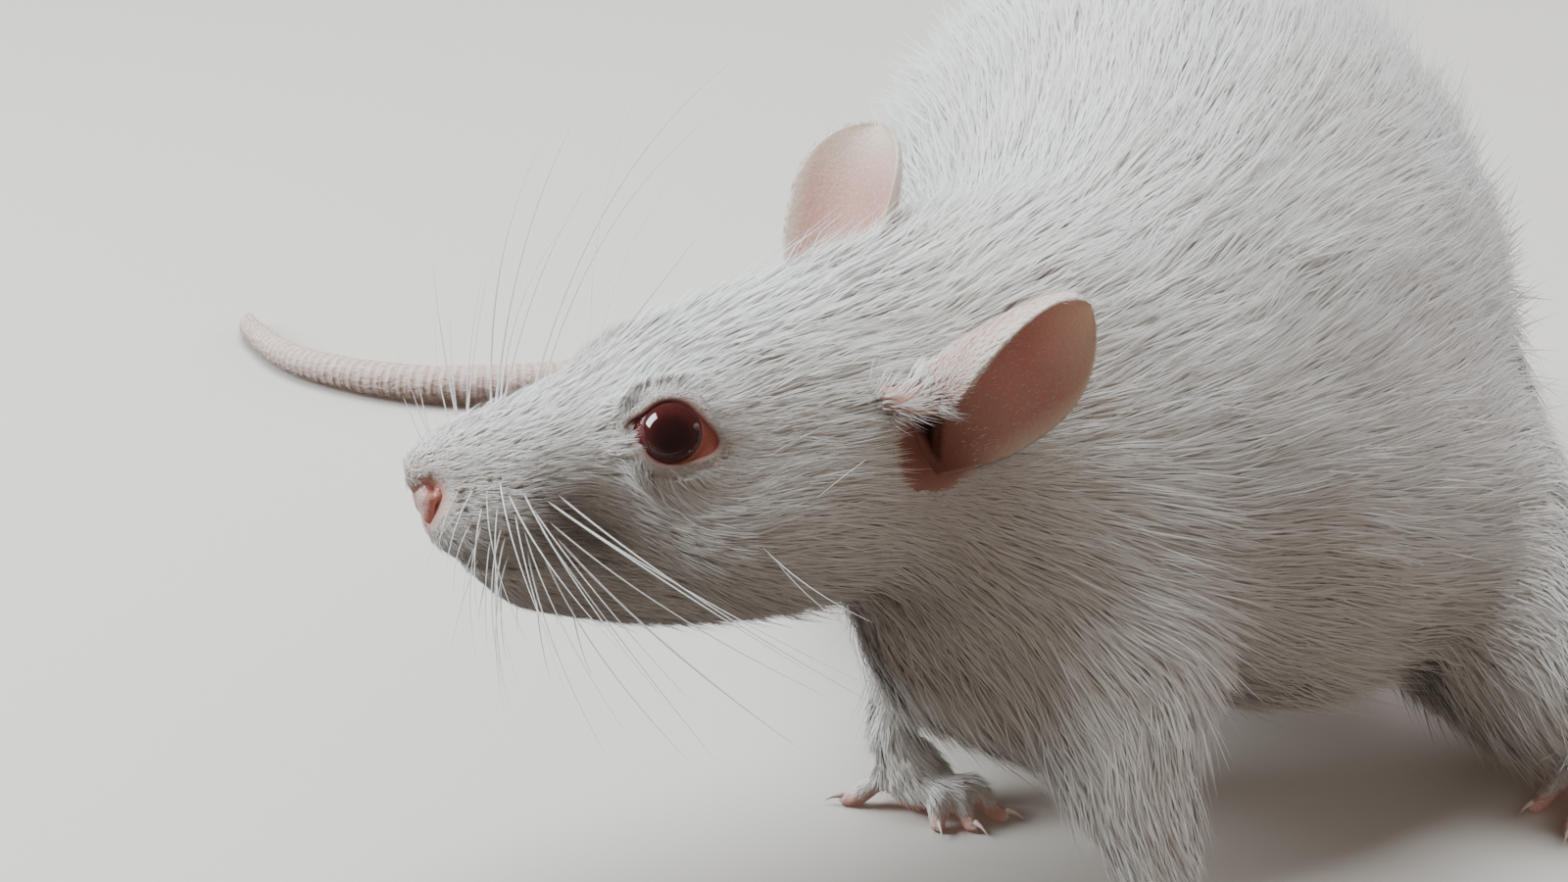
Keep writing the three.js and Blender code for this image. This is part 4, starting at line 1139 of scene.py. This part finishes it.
extra = extra_faces + LID_START
triangles = np.concatenate([T, extra[:, [0, 1, 2]], extra[:, [0, 2, 3]]])
corner = S[triangles]
area = 0.5 * np.linalg.norm(np.cross(corner[:, 1] - corner[:, 0], corner[:, 2] - corner[:, 0]), axis=1)
length_here = hair[triangles].mean(1)
growing = (hair[triangles] > 0).all(1)
CROWD, CROWD_LEAST, CROWD_MOST = 110, 10, 62  # weights of a square mm, the first for hairs 1 mm long
crowd = np.clip(CROWD / np.maximum(length_here, 0.3) ** 1.05, CROWD_LEAST, CROWD_MOST)
crowd *= np.where(is_tail[triangles].any(1), 0.10, 1) * np.where(is_foot[triangles].any(1), 0.9, 1)
inner_ear = np.concatenate([np.zeros(EAR_START, bool), ~ear_outer])
crowd *= np.where(is_ear[triangles].any(1), np.where(inner_ear[triangles].any(1), 0.08, 0.34), 1)
TUFTS = 470000
picks, shares = scattered(TUFTS, area * crowd * growing)
print("a tuft for each", (area[growing].sum() / TUFTS).round(3), "square mm of", area.sum().round(), "in all")


# %% Roots' own values
def at_roots(values):
    """A value given at the skin's points, mixed at each root by its shares of the three corners."""
    corners = values[triangles[picks]]
    return (corners * (shares if values.ndim == 1 else shares[..., None])).sum(1)


root = at_roots(S)
normal = unit(at_roots(SN))
lie = at_roots(flow)
length = at_roots(hair)
region = np.select([is_ear[triangles[picks, 0]], is_tail[triangles[picks, 0]], is_foot[triangles[picks, 0]],
                    is_head[triangles[picks, 0]]], [0, 1, 2, 3], 4)
REGIONS = ["ear", "tail", "foot", "head", "body"]
sweep = 0.30 * noise(root, 9.0, 1) + 0.18 * noise(root, 3.1, 2) + RNG.normal(0, 0.09, TUFTS)
lie = unit(lie - normal * (lie * normal).sum(1, keepdims=True))
lie = turned(lie, normal, sweep * np.where(length > 4, 1.0, 0.7))
CLUMPS = (0.6, 1.1, 1.7, 2.6)  # mm across, for hairs shorter than the next three lengths and the rest
clump_size = np.select([length < 1.6, length < 3.2, length < 5.5], CLUMPS[:3], CLUMPS[3])
centre = np.zeros_like(root)
for size in CLUMPS:
    k = clump_size == size
    centre[k] = clump_centre(root[k], size)
pull = centre - root
pull -= normal * (pull * normal).sum(1, keepdims=True)
pull *= (RNG.uniform(0.2, 0.75, TUFTS) * np.where(region < 3, 0.3, 1))[:, None]
GUARD_SHARE = 0.06  # long thin guard hairs among the rest
guard = RNG.random(TUFTS) < GUARD_SHARE
length = length * RNG.uniform(0.72, 1.12, TUFTS) * np.where(guard, 1.3, 1)
TUFT_WIDTH = 0.088  # mm, for a tuft 1 mm long
width = TUFT_WIDTH * np.sqrt(length) * np.where(guard, 0.6, RNG.uniform(0.7, 1.15, TUFTS))
rise = length * (DEPTH_SHARE * RNG.uniform(0.45, 1.05, TUFTS) + np.where(guard, 0.12, 0))
rise *= 1 + 0.25 * noise(root, 6.0, 5)
CROWN = in_head([-17, -5, 10.5])  # between the ears the hair stands up
rise *= 1 + 1.1 * bell(np.linalg.norm(root - CROWN, axis=1), 8.5)
# The face's painted shade at each tuft's root.
root_painted_shade = at_roots(dusk)
print("tufts by region:", dict(zip(REGIONS, np.bincount(region, minlength=5).tolist())))


# %% Middles of the tufts, kept above the skin
STEPS = np.array([0, 0.45, 1.0])
CELL = 2.5  # mm
SUNK = 0.12  # mm that a root is set into the skin


def cell_key(cells, spans):
    """One whole number for each cell of a lattice, from its three indices."""
    return (cells[:, 0] * spans[1] + cells[:, 1]) * spans[2] + cells[:, 2]


def cell_means(p, n):
    """The roots gathered in cells, with each cell's number and the mean place and normal of its roots."""
    low = p.min(0) - 3 * CELL
    cells = np.floor((p - low) / CELL).astype(np.int64)
    spans = cells.max(0) + 4
    keys, which = np.unique(cell_key(cells, spans), return_inverse=True)
    count = np.bincount(which)[:, None]
    place = np.stack([np.bincount(which, axis) for axis in p.T], 1) / count
    out = unit(np.stack([np.bincount(which, axis) for axis in n.T], 1))
    return low, spans, keys, place, out


def kept_above(p, least, skin_cells):
    """Points pushed out along the nearest cell's normal until they stand at least this high over the skin."""
    low, spans, keys, place, out = skin_cells
    cells = np.floor((p - low) / CELL).astype(np.int64)
    nearest = np.full(len(p), (1.3 * CELL) ** 2)
    found = np.full(len(p), -1)
    for step in np.ndindex(3, 3, 3):
        c = cells + np.array(step) - 1
        key = cell_key(c, spans)
        at = np.minimum(np.searchsorted(keys, key), len(keys) - 1)
        d = ((p - place[at]) ** 2).sum(1)
        closer = (keys[at] == key) & (d < nearest)
        nearest = np.where(closer, d, nearest)
        found = np.where(closer, at, found)
    hit = found >= 0
    height = ((p - place[found]) * out[found]).sum(1)
    push = np.where(hit, np.maximum(0, least - height), 0)
    return p + out[found] * push[:, None], int((push > 0).sum())


def middles(s):
    """A tuft's middle at share s: root + lie L s + normal (rise (1 - (1 - s)^1.8) - sunk) + pull s^1.5."""
    height = rise * (1 - (1 - s) ** 1.8) - SUNK
    return root + lie * (length * s)[:, None] + normal * height[:, None] + pull * s**1.5


skin_cells = cell_means(root[region >= 3], normal[region >= 3])
middle = np.stack([middles(s) for s in STEPS], 1)
body = np.flatnonzero(region >= 3)
for step, share in ((1, 0.5), (2, 0.75)):
    middle[body, step], pushed = kept_above(middle[body, step], share * rise[body], skin_cells)
    print("tufts lifted out of the skin:", pushed)


# %% Strips
def strips(k):
    """Points and custom normals of the tufts k, five points each: two at the root, two at the bend and
    one tip. Normals lean outward on both edges, so a flat strip shades like a round lock."""
    m = middle[k]
    n, f = normal[k], lie[k]
    across = turned(unit(np.cross(f, n)), f, RNG.uniform(-0.5, 0.5, len(k)))[:, None]
    half = 0.5 * width[k][:, None, None] * np.array([0.9, 1.0, 0])[None, :, None]
    ahead = unit(np.stack([m[:, 1] - m[:, 0], m[:, 2] - m[:, 0], m[:, 2] - m[:, 1]], 1))
    facing = unit(0.35 * unit(np.cross(across, ahead)) + 0.65 * n[:, None])
    left, right = m - across * half, m + across * half
    points = np.stack([left[:, 0], right[:, 0], left[:, 1], right[:, 1], m[:, 2]], 1)
    lean = 0.4 * across[:, 0]
    normals = np.stack([facing[:, 0] - lean, facing[:, 0] + lean, facing[:, 1] - lean, facing[:, 1] + lean,
                        facing[:, 2]], 1)
    points = points.reshape(-1, 3)
    points[:, 2] = np.maximum(points[:, 2], 0.05)
    return points, unit(normals.reshape(-1, 3))


def strip_faces(count):
    """A quad and a triangle for each strip of five points."""
    start = np.arange(count)[:, None] * 5
    return [np.array([[0, 1, 3, 2]]) + start, np.array([[2, 3, 4]]) + start]


# %% Places on an unwrap of the skin
TILES = 7
MARGIN, USED = 0.04, 0.92  # shares of a tile: the edge left free, and what lies inside


def unwrap(p, ears):
    """Where a root lies on a flat map of the skin: each body line has one tile of a 7 by 7 board, with the
    angle round the line across it and the way along the line up it. Ears use the last two tiles."""
    near, _, _ = on_lines(p)
    sample = SAMPLES[near]
    rel = p - sample[:, CENTRE]
    angle = np.arctan2((rel * sample[:, TOP]).sum(1), (rel * sample[:, SIDE]).sum(1)) / (2 * pi) + 0.5
    along = sample[:, SHARE]
    tile = sample[:, LINE].astype(int)
    h = to_head(p)
    base = np.where(h[:, 1] > 0, 0, 1)
    ear_bases = np.array([in_head(ear["base"]) for ear in EARS.values()])
    out = np.linalg.norm(p - ear_bases[base], axis=1) / EAR_LENGTH
    tile = np.where(ears, TILES * TILES - 1 - base, tile)
    along = np.where(ears, out, along)
    u = (tile % TILES + MARGIN + USED * np.clip(angle, 0, 1)) / TILES
    v = (tile // TILES + MARGIN + USED * np.clip(along, 0, 1)) / TILES
    return np.stack([u, v], 1)


assert len(NAMES) <= TILES * TILES - 2
PATCH = 0.003  # the side of one tuft's own square on the map
place = unwrap(root, region == 0)
ALONG = STEPS[[0, 0, 1, 1, 2]]
PATCH_SHAPE = np.stack([[0, 1, 0, 1, 0.5], ALONG], 1) * PATCH

# %% Coat pieces
MOST_TUFTS = 64000  # three triangles each, so a piece stays under 200,000
coats = []
order_along = root @ unit([0.75, 0.66, 0.0])
for number, name in enumerate(REGIONS):
    members = np.flatnonzero(region == number)
    members = members[np.argsort(order_along[members], kind="stable")]
    for part, k in enumerate(np.array_split(members, max(1, -(-len(members) // MOST_TUFTS)))):
        points, normals = strips(k)
        coat = make_piece(f"coat_{name}_{part + 1}", points, strip_faces(len(k)))
        keep_number(coat, "tip", np.tile(ALONG, len(k)))
        keep_number(coat, "strand", np.repeat(RNG.random(len(k)), 5))
        # The face's painted shade is kept on the coat, to darken its colour.
        keep_number(coat, "dusk", np.repeat(root_painted_shade[k], 5))
        patch = (np.repeat(place[k], 5, 0) + np.tile(PATCH_SHAPE, (len(k), 1))).astype(np.float32)
        corners = np.empty(len(coat.data.loops), np.int32)
        coat.data.loops.foreach_get("vertex_index", corners)
        coat.data.uv_layers.new(name="OFBake").data.foreach_set("uv", patch[corners].ravel())
        coat.data.normals_split_custom_set_from_vertices(normals.astype(np.float32).tolist())
        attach(coat, "root")
        {"ear": "ear", "tail": "tail", "foot": "foot"}.get(name, "coat")
        coats.append(coat)
        print(coat.name, len(k), "tufts")

# %% [markdown]
# ## Materials
# Each finish is a small network of nodes. Colour, roughness and bump come from noise in Object
# coordinates, which stay put on the animal, and from the numbers kept on the meshes: how bare the
# skin is, how far along a tuft a point lies. Values that are the same all over are typed straight
# into the shader.


# %% Node helpers
class Look:
    """A material with a few short ways to add nodes. A source is a number, a colour or another socket."""

    def __init__(self, name, **constants):
        self.material = bpy.data.materials.new(name)
        self.material.use_nodes = True
        self.tree = self.material.node_tree
        self.shader = self.tree.nodes["Principled BSDF"]
        for key, value in constants.items():
            self.shader.inputs[key.replace("_", " ").title().replace("Ior", "IOR")].default_value = value
        self.where = self.add("ShaderNodeTexCoord").outputs["Object"]

    def add(self, kind, values=(), **settings):
        """A node with settings, and its inputs by number or name set to values or joined to sockets."""
        node = self.tree.nodes.new(kind)
        for key, value in settings.items():
            setattr(node, key, value)
        for key, value in dict(values).items():
            if isinstance(value, bpy.types.NodeSocket):
                self.tree.links.new(value, node.inputs[key])
            else:
                node.inputs[key].default_value = value
        return node

    def number(self, name):
        """A number kept on the mesh."""
        return self.add("ShaderNodeAttribute", attribute_name=name).outputs["Fac"]

    def vector(self, name):
        """Three numbers kept on the mesh."""
        return self.add("ShaderNodeAttribute", attribute_name=name).outputs["Vector"]

    def noise(self, size_mm, detail=3, roughness=0.55, where=None):
        """Noise whose features are about this many millimetres across."""
        return self.add("ShaderNodeTexNoise", {"Vector": where or self.where, "Scale": 1000 / size_mm,
                                               "Detail": detail, "Roughness": roughness}).outputs["Fac"]

    def range(self, value, low, high, start=0.0, end=1.0):
        """A value read between low and high, given back between start and end, with an S-shaped step."""
        return self.add("ShaderNodeMapRange", {0: value, 1: low, 2: high, 3: start, 4: end},
                        interpolation_type="SMOOTHSTEP").outputs[0]

    def math(self, operation, a, b=0.0):
        """One sum, such as MULTIPLY, of two sources."""
        return self.add("ShaderNodeMath", {0: a, 1: b}, operation=operation).outputs[0]

    def mix(self, share, a, b, how="MIX"):
        """Two colours mixed by a share."""
        a, b = (c if isinstance(c, bpy.types.NodeSocket) else (*c, 1.0) for c in (a, b))
        return self.add("ShaderNodeMix", {0: share, 6: a, 7: b}, data_type="RGBA", blend_type=how).outputs[2]

    def bump(self, height, depth_mm, onto=None, strength=1.0):
        """Bump from a height between 0 and 1 that stands for this many millimetres."""
        values = {"Height": height, "Distance": depth_mm / 1000, "Strength": strength}
        if onto:
            values["Normal"] = onto
        return self.add("ShaderNodeBump", values).outputs["Normal"]

    def finish(self, piece, **sockets):
        """Joins sockets to the shader and gives the material to one piece or a list of them."""
        for key, socket in sockets.items():
            self.tree.links.new(socket, self.shader.inputs[key.replace("_", " ").title()])
        for p in piece if isinstance(piece, list) else [piece]:
            p.data.materials.append(self.material)


# %% Skin numbers for the material
scaly = is_tail * np.clip(2.2 - 0.9 * SAMPLES[best, HAIR], 0, 1)
# Among these, hollow and the face's shade are painted shade that darkens the skin's colour.
for name, values in {"bare": bare, "wet": wet, "rear_corner": rear_corner, "hollow": hollow,
                     "flush": flush, "cream": cream, "dusk": dusk, "scaly": scaly}.items():
    keep_number(skin, name, values)
tail_rows = np.array(TAIL)
tail_length = np.linalg.norm(np.diff(tail_rows[:, :3], axis=0), axis=1).sum()
sample = SAMPLES[best]
rel = S - sample[:, CENTRE]
round_tail = np.arctan2((rel * sample[:, TOP]).sum(1), (rel * sample[:, SIDE]).sum(1))
along_tail = sample[:, SHARE] * tail_length + (rel * sample[:, AHEAD]).sum(1)
straight = np.stack([along_tail, 3 * np.cos(round_tail), 3 * np.sin(round_tail)], 1)
layer = skin.data.attributes.new("straight", "FLOAT_VECTOR", "POINT")
layer.data.foreach_set("vector", straight.astype(np.float32).ravel())
print("tail is", tail_length.round(), "mm along its middle")

# %% Skin finish
hide = Look("skin", roughness=0.55, subsurface_weight=0.18, subsurface_scale=0.002, specular_ior_level=0.4)
hide.shader.inputs["Subsurface Radius"].default_value = (1.0, 0.35, 0.22)
mottle = hide.noise(4.0, 5)
fine = hide.noise(0.35, 3)
under = hide.mix(mottle, (0.80, 0.68, 0.63), (0.74, 0.61, 0.56))
# Painted shade: the shade behind the whisker pads, under the mouth and round the lids darkens the skin to
# brown-grey.
under = hide.mix(hide.number("dusk"), under, (0.20, 0.145, 0.125))
pink = hide.mix(mottle, (0.78, 0.47, 0.40), (0.68, 0.35, 0.30))
pink = hide.mix(hide.number("flush"), pink, (0.44, 0.175, 0.135))
pink = hide.mix(hide.number("cream"), pink, (0.88, 0.72, 0.60))
colour = hide.mix(hide.number("bare"), under, pink)
laid_straight = hide.vector("straight")
rings = {"Vector": laid_straight, "Scale": 0.273, "Distortion": 0.6, "Detail": 1.0}
scale_rings = hide.add("ShaderNodeTexWave", rings, bands_direction="X").outputs["Fac"]
scale_cells = hide.add("ShaderNodeTexVoronoi", {"Vector": laid_straight, "Scale": 0.95}).outputs["Distance"]
scales = hide.number("scaly")
tail_tone = hide.mix(scale_rings, (0.62, 0.42, 0.36), (0.80, 0.62, 0.55))
colour = hide.mix(scales, colour, tail_tone)
wet_tone = hide.mix(hide.number("rear_corner"), (0.20, 0.035, 0.035), (0.50, 0.165, 0.12))
colour = hide.mix(hide.number("wet"), colour, wet_tone)
# Painted shade: near black in the ear pit, the ear bowls and the ear's buried base.
colour = hide.mix(hide.number("hollow"), colour, (0.05, 0.012, 0.010))
relief = hide.bump(fine, 0.10)
relief = hide.bump(hide.math("MULTIPLY", hide.math("ADD", scale_rings, scale_cells), scales), 0.16, relief)
gloss = hide.range(hide.number("wet"), 0, 1, 0.58, 0.12)
hide.finish(skin, base_color=colour, roughness=gloss, normal=relief)

# %% Coat finish
fur = Look("white coat", sheen_weight=0.2, sheen_roughness=0.4, specular_ior_level=0.3)
tip, strand = fur.number("tip"), fur.number("strand")
cream_patch = fur.noise(22, 3)
tip_tone = fur.mix(fur.range(cream_patch, 0.35, 0.7), (0.91, 0.90, 0.88), (0.895, 0.87, 0.83))
root_tone = fur.mix(fur.noise(5, 2), (0.80, 0.73, 0.68), (0.86, 0.80, 0.76))
colour = fur.mix(fur.range(tip, 0.0, 0.6), root_tone, tip_tone)
colour = fur.mix(fur.range(strand, 0, 1, 0.0, 0.18), colour, (0.55, 0.48, 0.43))
# Painted shade: the same shade on the face darkens the coat's tufts.
colour = fur.mix(fur.math("MULTIPLY", fur.number("dusk"), 0.8), colour, (0.19, 0.15, 0.13))
streak = fur.noise(0.12, 2)
gloss = fur.range(strand, 0, 1, 0.42, 0.68)
fur.finish(coats, base_color=colour, roughness=gloss, normal=fur.bump(streak, 0.02))

# %% Whisker finish
bristle = Look("whisker", roughness=0.3, specular_ior_level=0.6)
from_root = bristle.range(bristle.number("tip"), 0.0, 0.12)
colour = bristle.mix(from_root, (0.62, 0.47, 0.40), (0.92, 0.91, 0.89))
colour = bristle.mix(bristle.range(bristle.noise(3, 2), 0.3, 0.7, 0, 0.25), colour, (0.80, 0.76, 0.70))
gloss = bristle.range(bristle.noise(1.0, 2), 0.3, 0.7, 0.22, 0.4)
bristle.finish(whiskers, base_color=colour, roughness=gloss)

# %% Whisker bed finish
bed = Look("whisker bed", roughness=0.5)
colour = bed.mix(bed.noise(1.5, 2), (0.42, 0.345, 0.31), (0.27, 0.21, 0.185))
bed.finish(whisker_beds, base_color=colour, roughness=bed.range(bed.noise(0.6, 2), 0.3, 0.7, 0.4, 0.6))

# %% Nose finish
pad = Look("nose", specular_ior_level=0.5, subsurface_weight=0.2, subsurface_scale=0.0012)
pad.shader.inputs["Subsurface Radius"].default_value = (1.0, 0.3, 0.2)
cobbles = pad.add("ShaderNodeTexVoronoi", {"Vector": pad.where, "Scale": 3300.0}).outputs["Distance"]
colour = pad.mix(pad.noise(1.6, 3), (0.80, 0.36, 0.31), (0.66, 0.24, 0.20))
colour = pad.mix(pad.number("front"), colour, (0.81, 0.56, 0.50))
# Painted shade: the nostrils, their slots and the middle groove are painted dark red by how deep they lie.
colour = pad.mix(pad.range(pad.number("hollow"), 0.25, 1), colour, (0.24, 0.03, 0.028))
gloss = pad.range(pad.noise(0.5, 2), 0.3, 0.7, 0.3, 0.5)
pad.finish(nose, base_color=colour, roughness=gloss, normal=pad.bump(cobbles, 0.06))

# %% Eye finish
ruby = Look("ruby eye", ior=1.38, coat_weight=1.0, coat_roughness=0.015)
gaze = ruby.number("gaze")
spokes = ruby.noise(0.5, 3)
iris = ruby.mix(spokes, (0.050, 0.008, 0.008), (0.080, 0.014, 0.012))
colour = ruby.mix(ruby.range(gaze, 0.10, 0.24), (0.026, 0.003, 0.004), iris)
colour = ruby.mix(ruby.range(gaze, 0.26, 0.33), colour, (0.16, 0.055, 0.075))
ruby.finish(eyes, base_color=colour, roughness=ruby.range(spokes, 0.3, 0.7, 0.03, 0.06))

# %% Claw finish
horn = Look("claw", specular_ior_level=0.5)
colour = horn.mix(horn.noise(0.8, 2), (0.84, 0.72, 0.64), (0.74, 0.58, 0.50))
gloss = horn.range(horn.noise(0.4, 2), 0.3, 0.7, 0.25, 0.4)
horn.finish(claws, base_color=colour, roughness=gloss, normal=horn.bump(horn.noise(0.25, 2), 0.03))
print("finishes:", sorted(m.name for m in bpy.data.materials))

# %% [markdown]
# ## Floor, light and camera
# A plain pale floor and large soft lamps show the coat without hard shadows. The camera is a long
# lens a hand's breadth above the animal, tilted down onto its back, and it looks along the floor's
# Y axis.

# %% Floor
FLOOR_SIZE = 3000.0
floor_points = np.array([[-1, -1, 0], [1, -1, 0], [1, 1, 0], [-1, 1, 0]]) * FLOOR_SIZE - SHIFT * [0, 0, 1]
floor = make_piece("floor", floor_points, np.array([[0, 1, 2, 3]]), smooth=False)
floor_look = bpy.data.materials.new("pale floor")
floor_look.use_nodes = True
floor_shader = floor_look.node_tree.nodes["Principled BSDF"]
floor_shader.inputs["Base Color"].default_value = (0.74, 0.69, 0.64, 1)
floor_shader.inputs["Roughness"].default_value = 0.75
floor.data.materials.append(floor_look)
floor.visible_glossy = False  # its edge would draw a line across each wet eye
floor.visible_diffuse = False  # and the light it throws up would wash out the underside


# %% Lamps
def to_world(p):
    """A point of the rat's frame in mm, in Blender's metres."""
    return (np.asarray(p, float) + SHIFT) * 0.001


def aim(thing, at):
    """Turns a lamp or camera so that its -Z axis looks from where it is at a point of the rat's frame."""
    thing.rotation_euler = (Vector(to_world(at)) - thing.location).to_track_quat("-Z", "Y").to_euler()


def lamp(name, where, size, power, colour, mirrored=True):
    """A lamp at a point in mm, looking at the middle of the body, with its width and height in mm and
    its power in watts. Only the window shows as a reflection, so an eye has one highlight."""
    light = bpy.data.lights.new(name, "AREA")
    light.shape = "RECTANGLE"
    light.size, light.size_y = size[0] * 0.001, size[1] * 0.001
    light.energy = power
    light.color = colour
    lamp_object = bpy.data.objects.new(name, light)
    bpy.context.scene.collection.objects.link(lamp_object)
    lamp_object.location = to_world(where)
    lamp_object.visible_glossy = mirrored
    aim(lamp_object, (25, 40, 40))


lamp("window", (-560, 70, 340), (240, 380), 5.4, (0.88, 0.96, 1.0))
lamp("sky", (-60, 160, 700), (500, 500), 7.4, (0.86, 0.95, 1.0), mirrored=False)
lamp("fill", (350, -650, 300), (700, 700), 0.9, (1.0, 0.86, 0.75), mirrored=False)
lamp("far side", (560, 420, 380), (500, 500), 3.0, (0.93, 0.93, 1.0), mirrored=False)
world = bpy.data.worlds.new("soft room")
world.use_nodes = True
background = world.node_tree.nodes["Background"]
background.inputs["Color"].default_value = (0.84, 0.71, 0.62, 1)
background.inputs["Strength"].default_value = 0.19
bpy.context.scene.world = world

# %% Camera
FRAME, SENSOR = np.array([1600, 900]), 36
FOCAL_PIXELS, TILT, RANGE = 4160.0, radians(22), 362.0
ahead = np.array([0, cos(TILT), -sin(TILT)])
above = np.array([0, sin(TILT), cos(TILT)])
eye_pixel = np.array([687.0, 440.0])  # where the left eye falls in a frame of 1600 by 900
offset = (eye_pixel - FRAME / 2) / FOCAL_PIXELS * RANGE
where = np.array([0, 0, EYE_HEIGHT]) - RANGE * ahead - offset[0] * np.array([1, 0, 0]) + offset[1] * above
camera = bpy.data.cameras.new("camera")
camera.lens = FOCAL_PIXELS / FRAME[0] * SENSOR
camera.sensor_width = SENSOR
camera.clip_start = 0.01
camera.clip_end = 20
camera_object = bpy.data.objects.new("camera", camera)
bpy.context.scene.collection.objects.link(camera_object)
camera_object.location = to_world(where)
aim(camera_object, where + ahead * 100)
bpy.context.scene.camera = camera_object
print("camera at", to_world(where).round(3), "lens", round(camera.lens, 1), "mm")
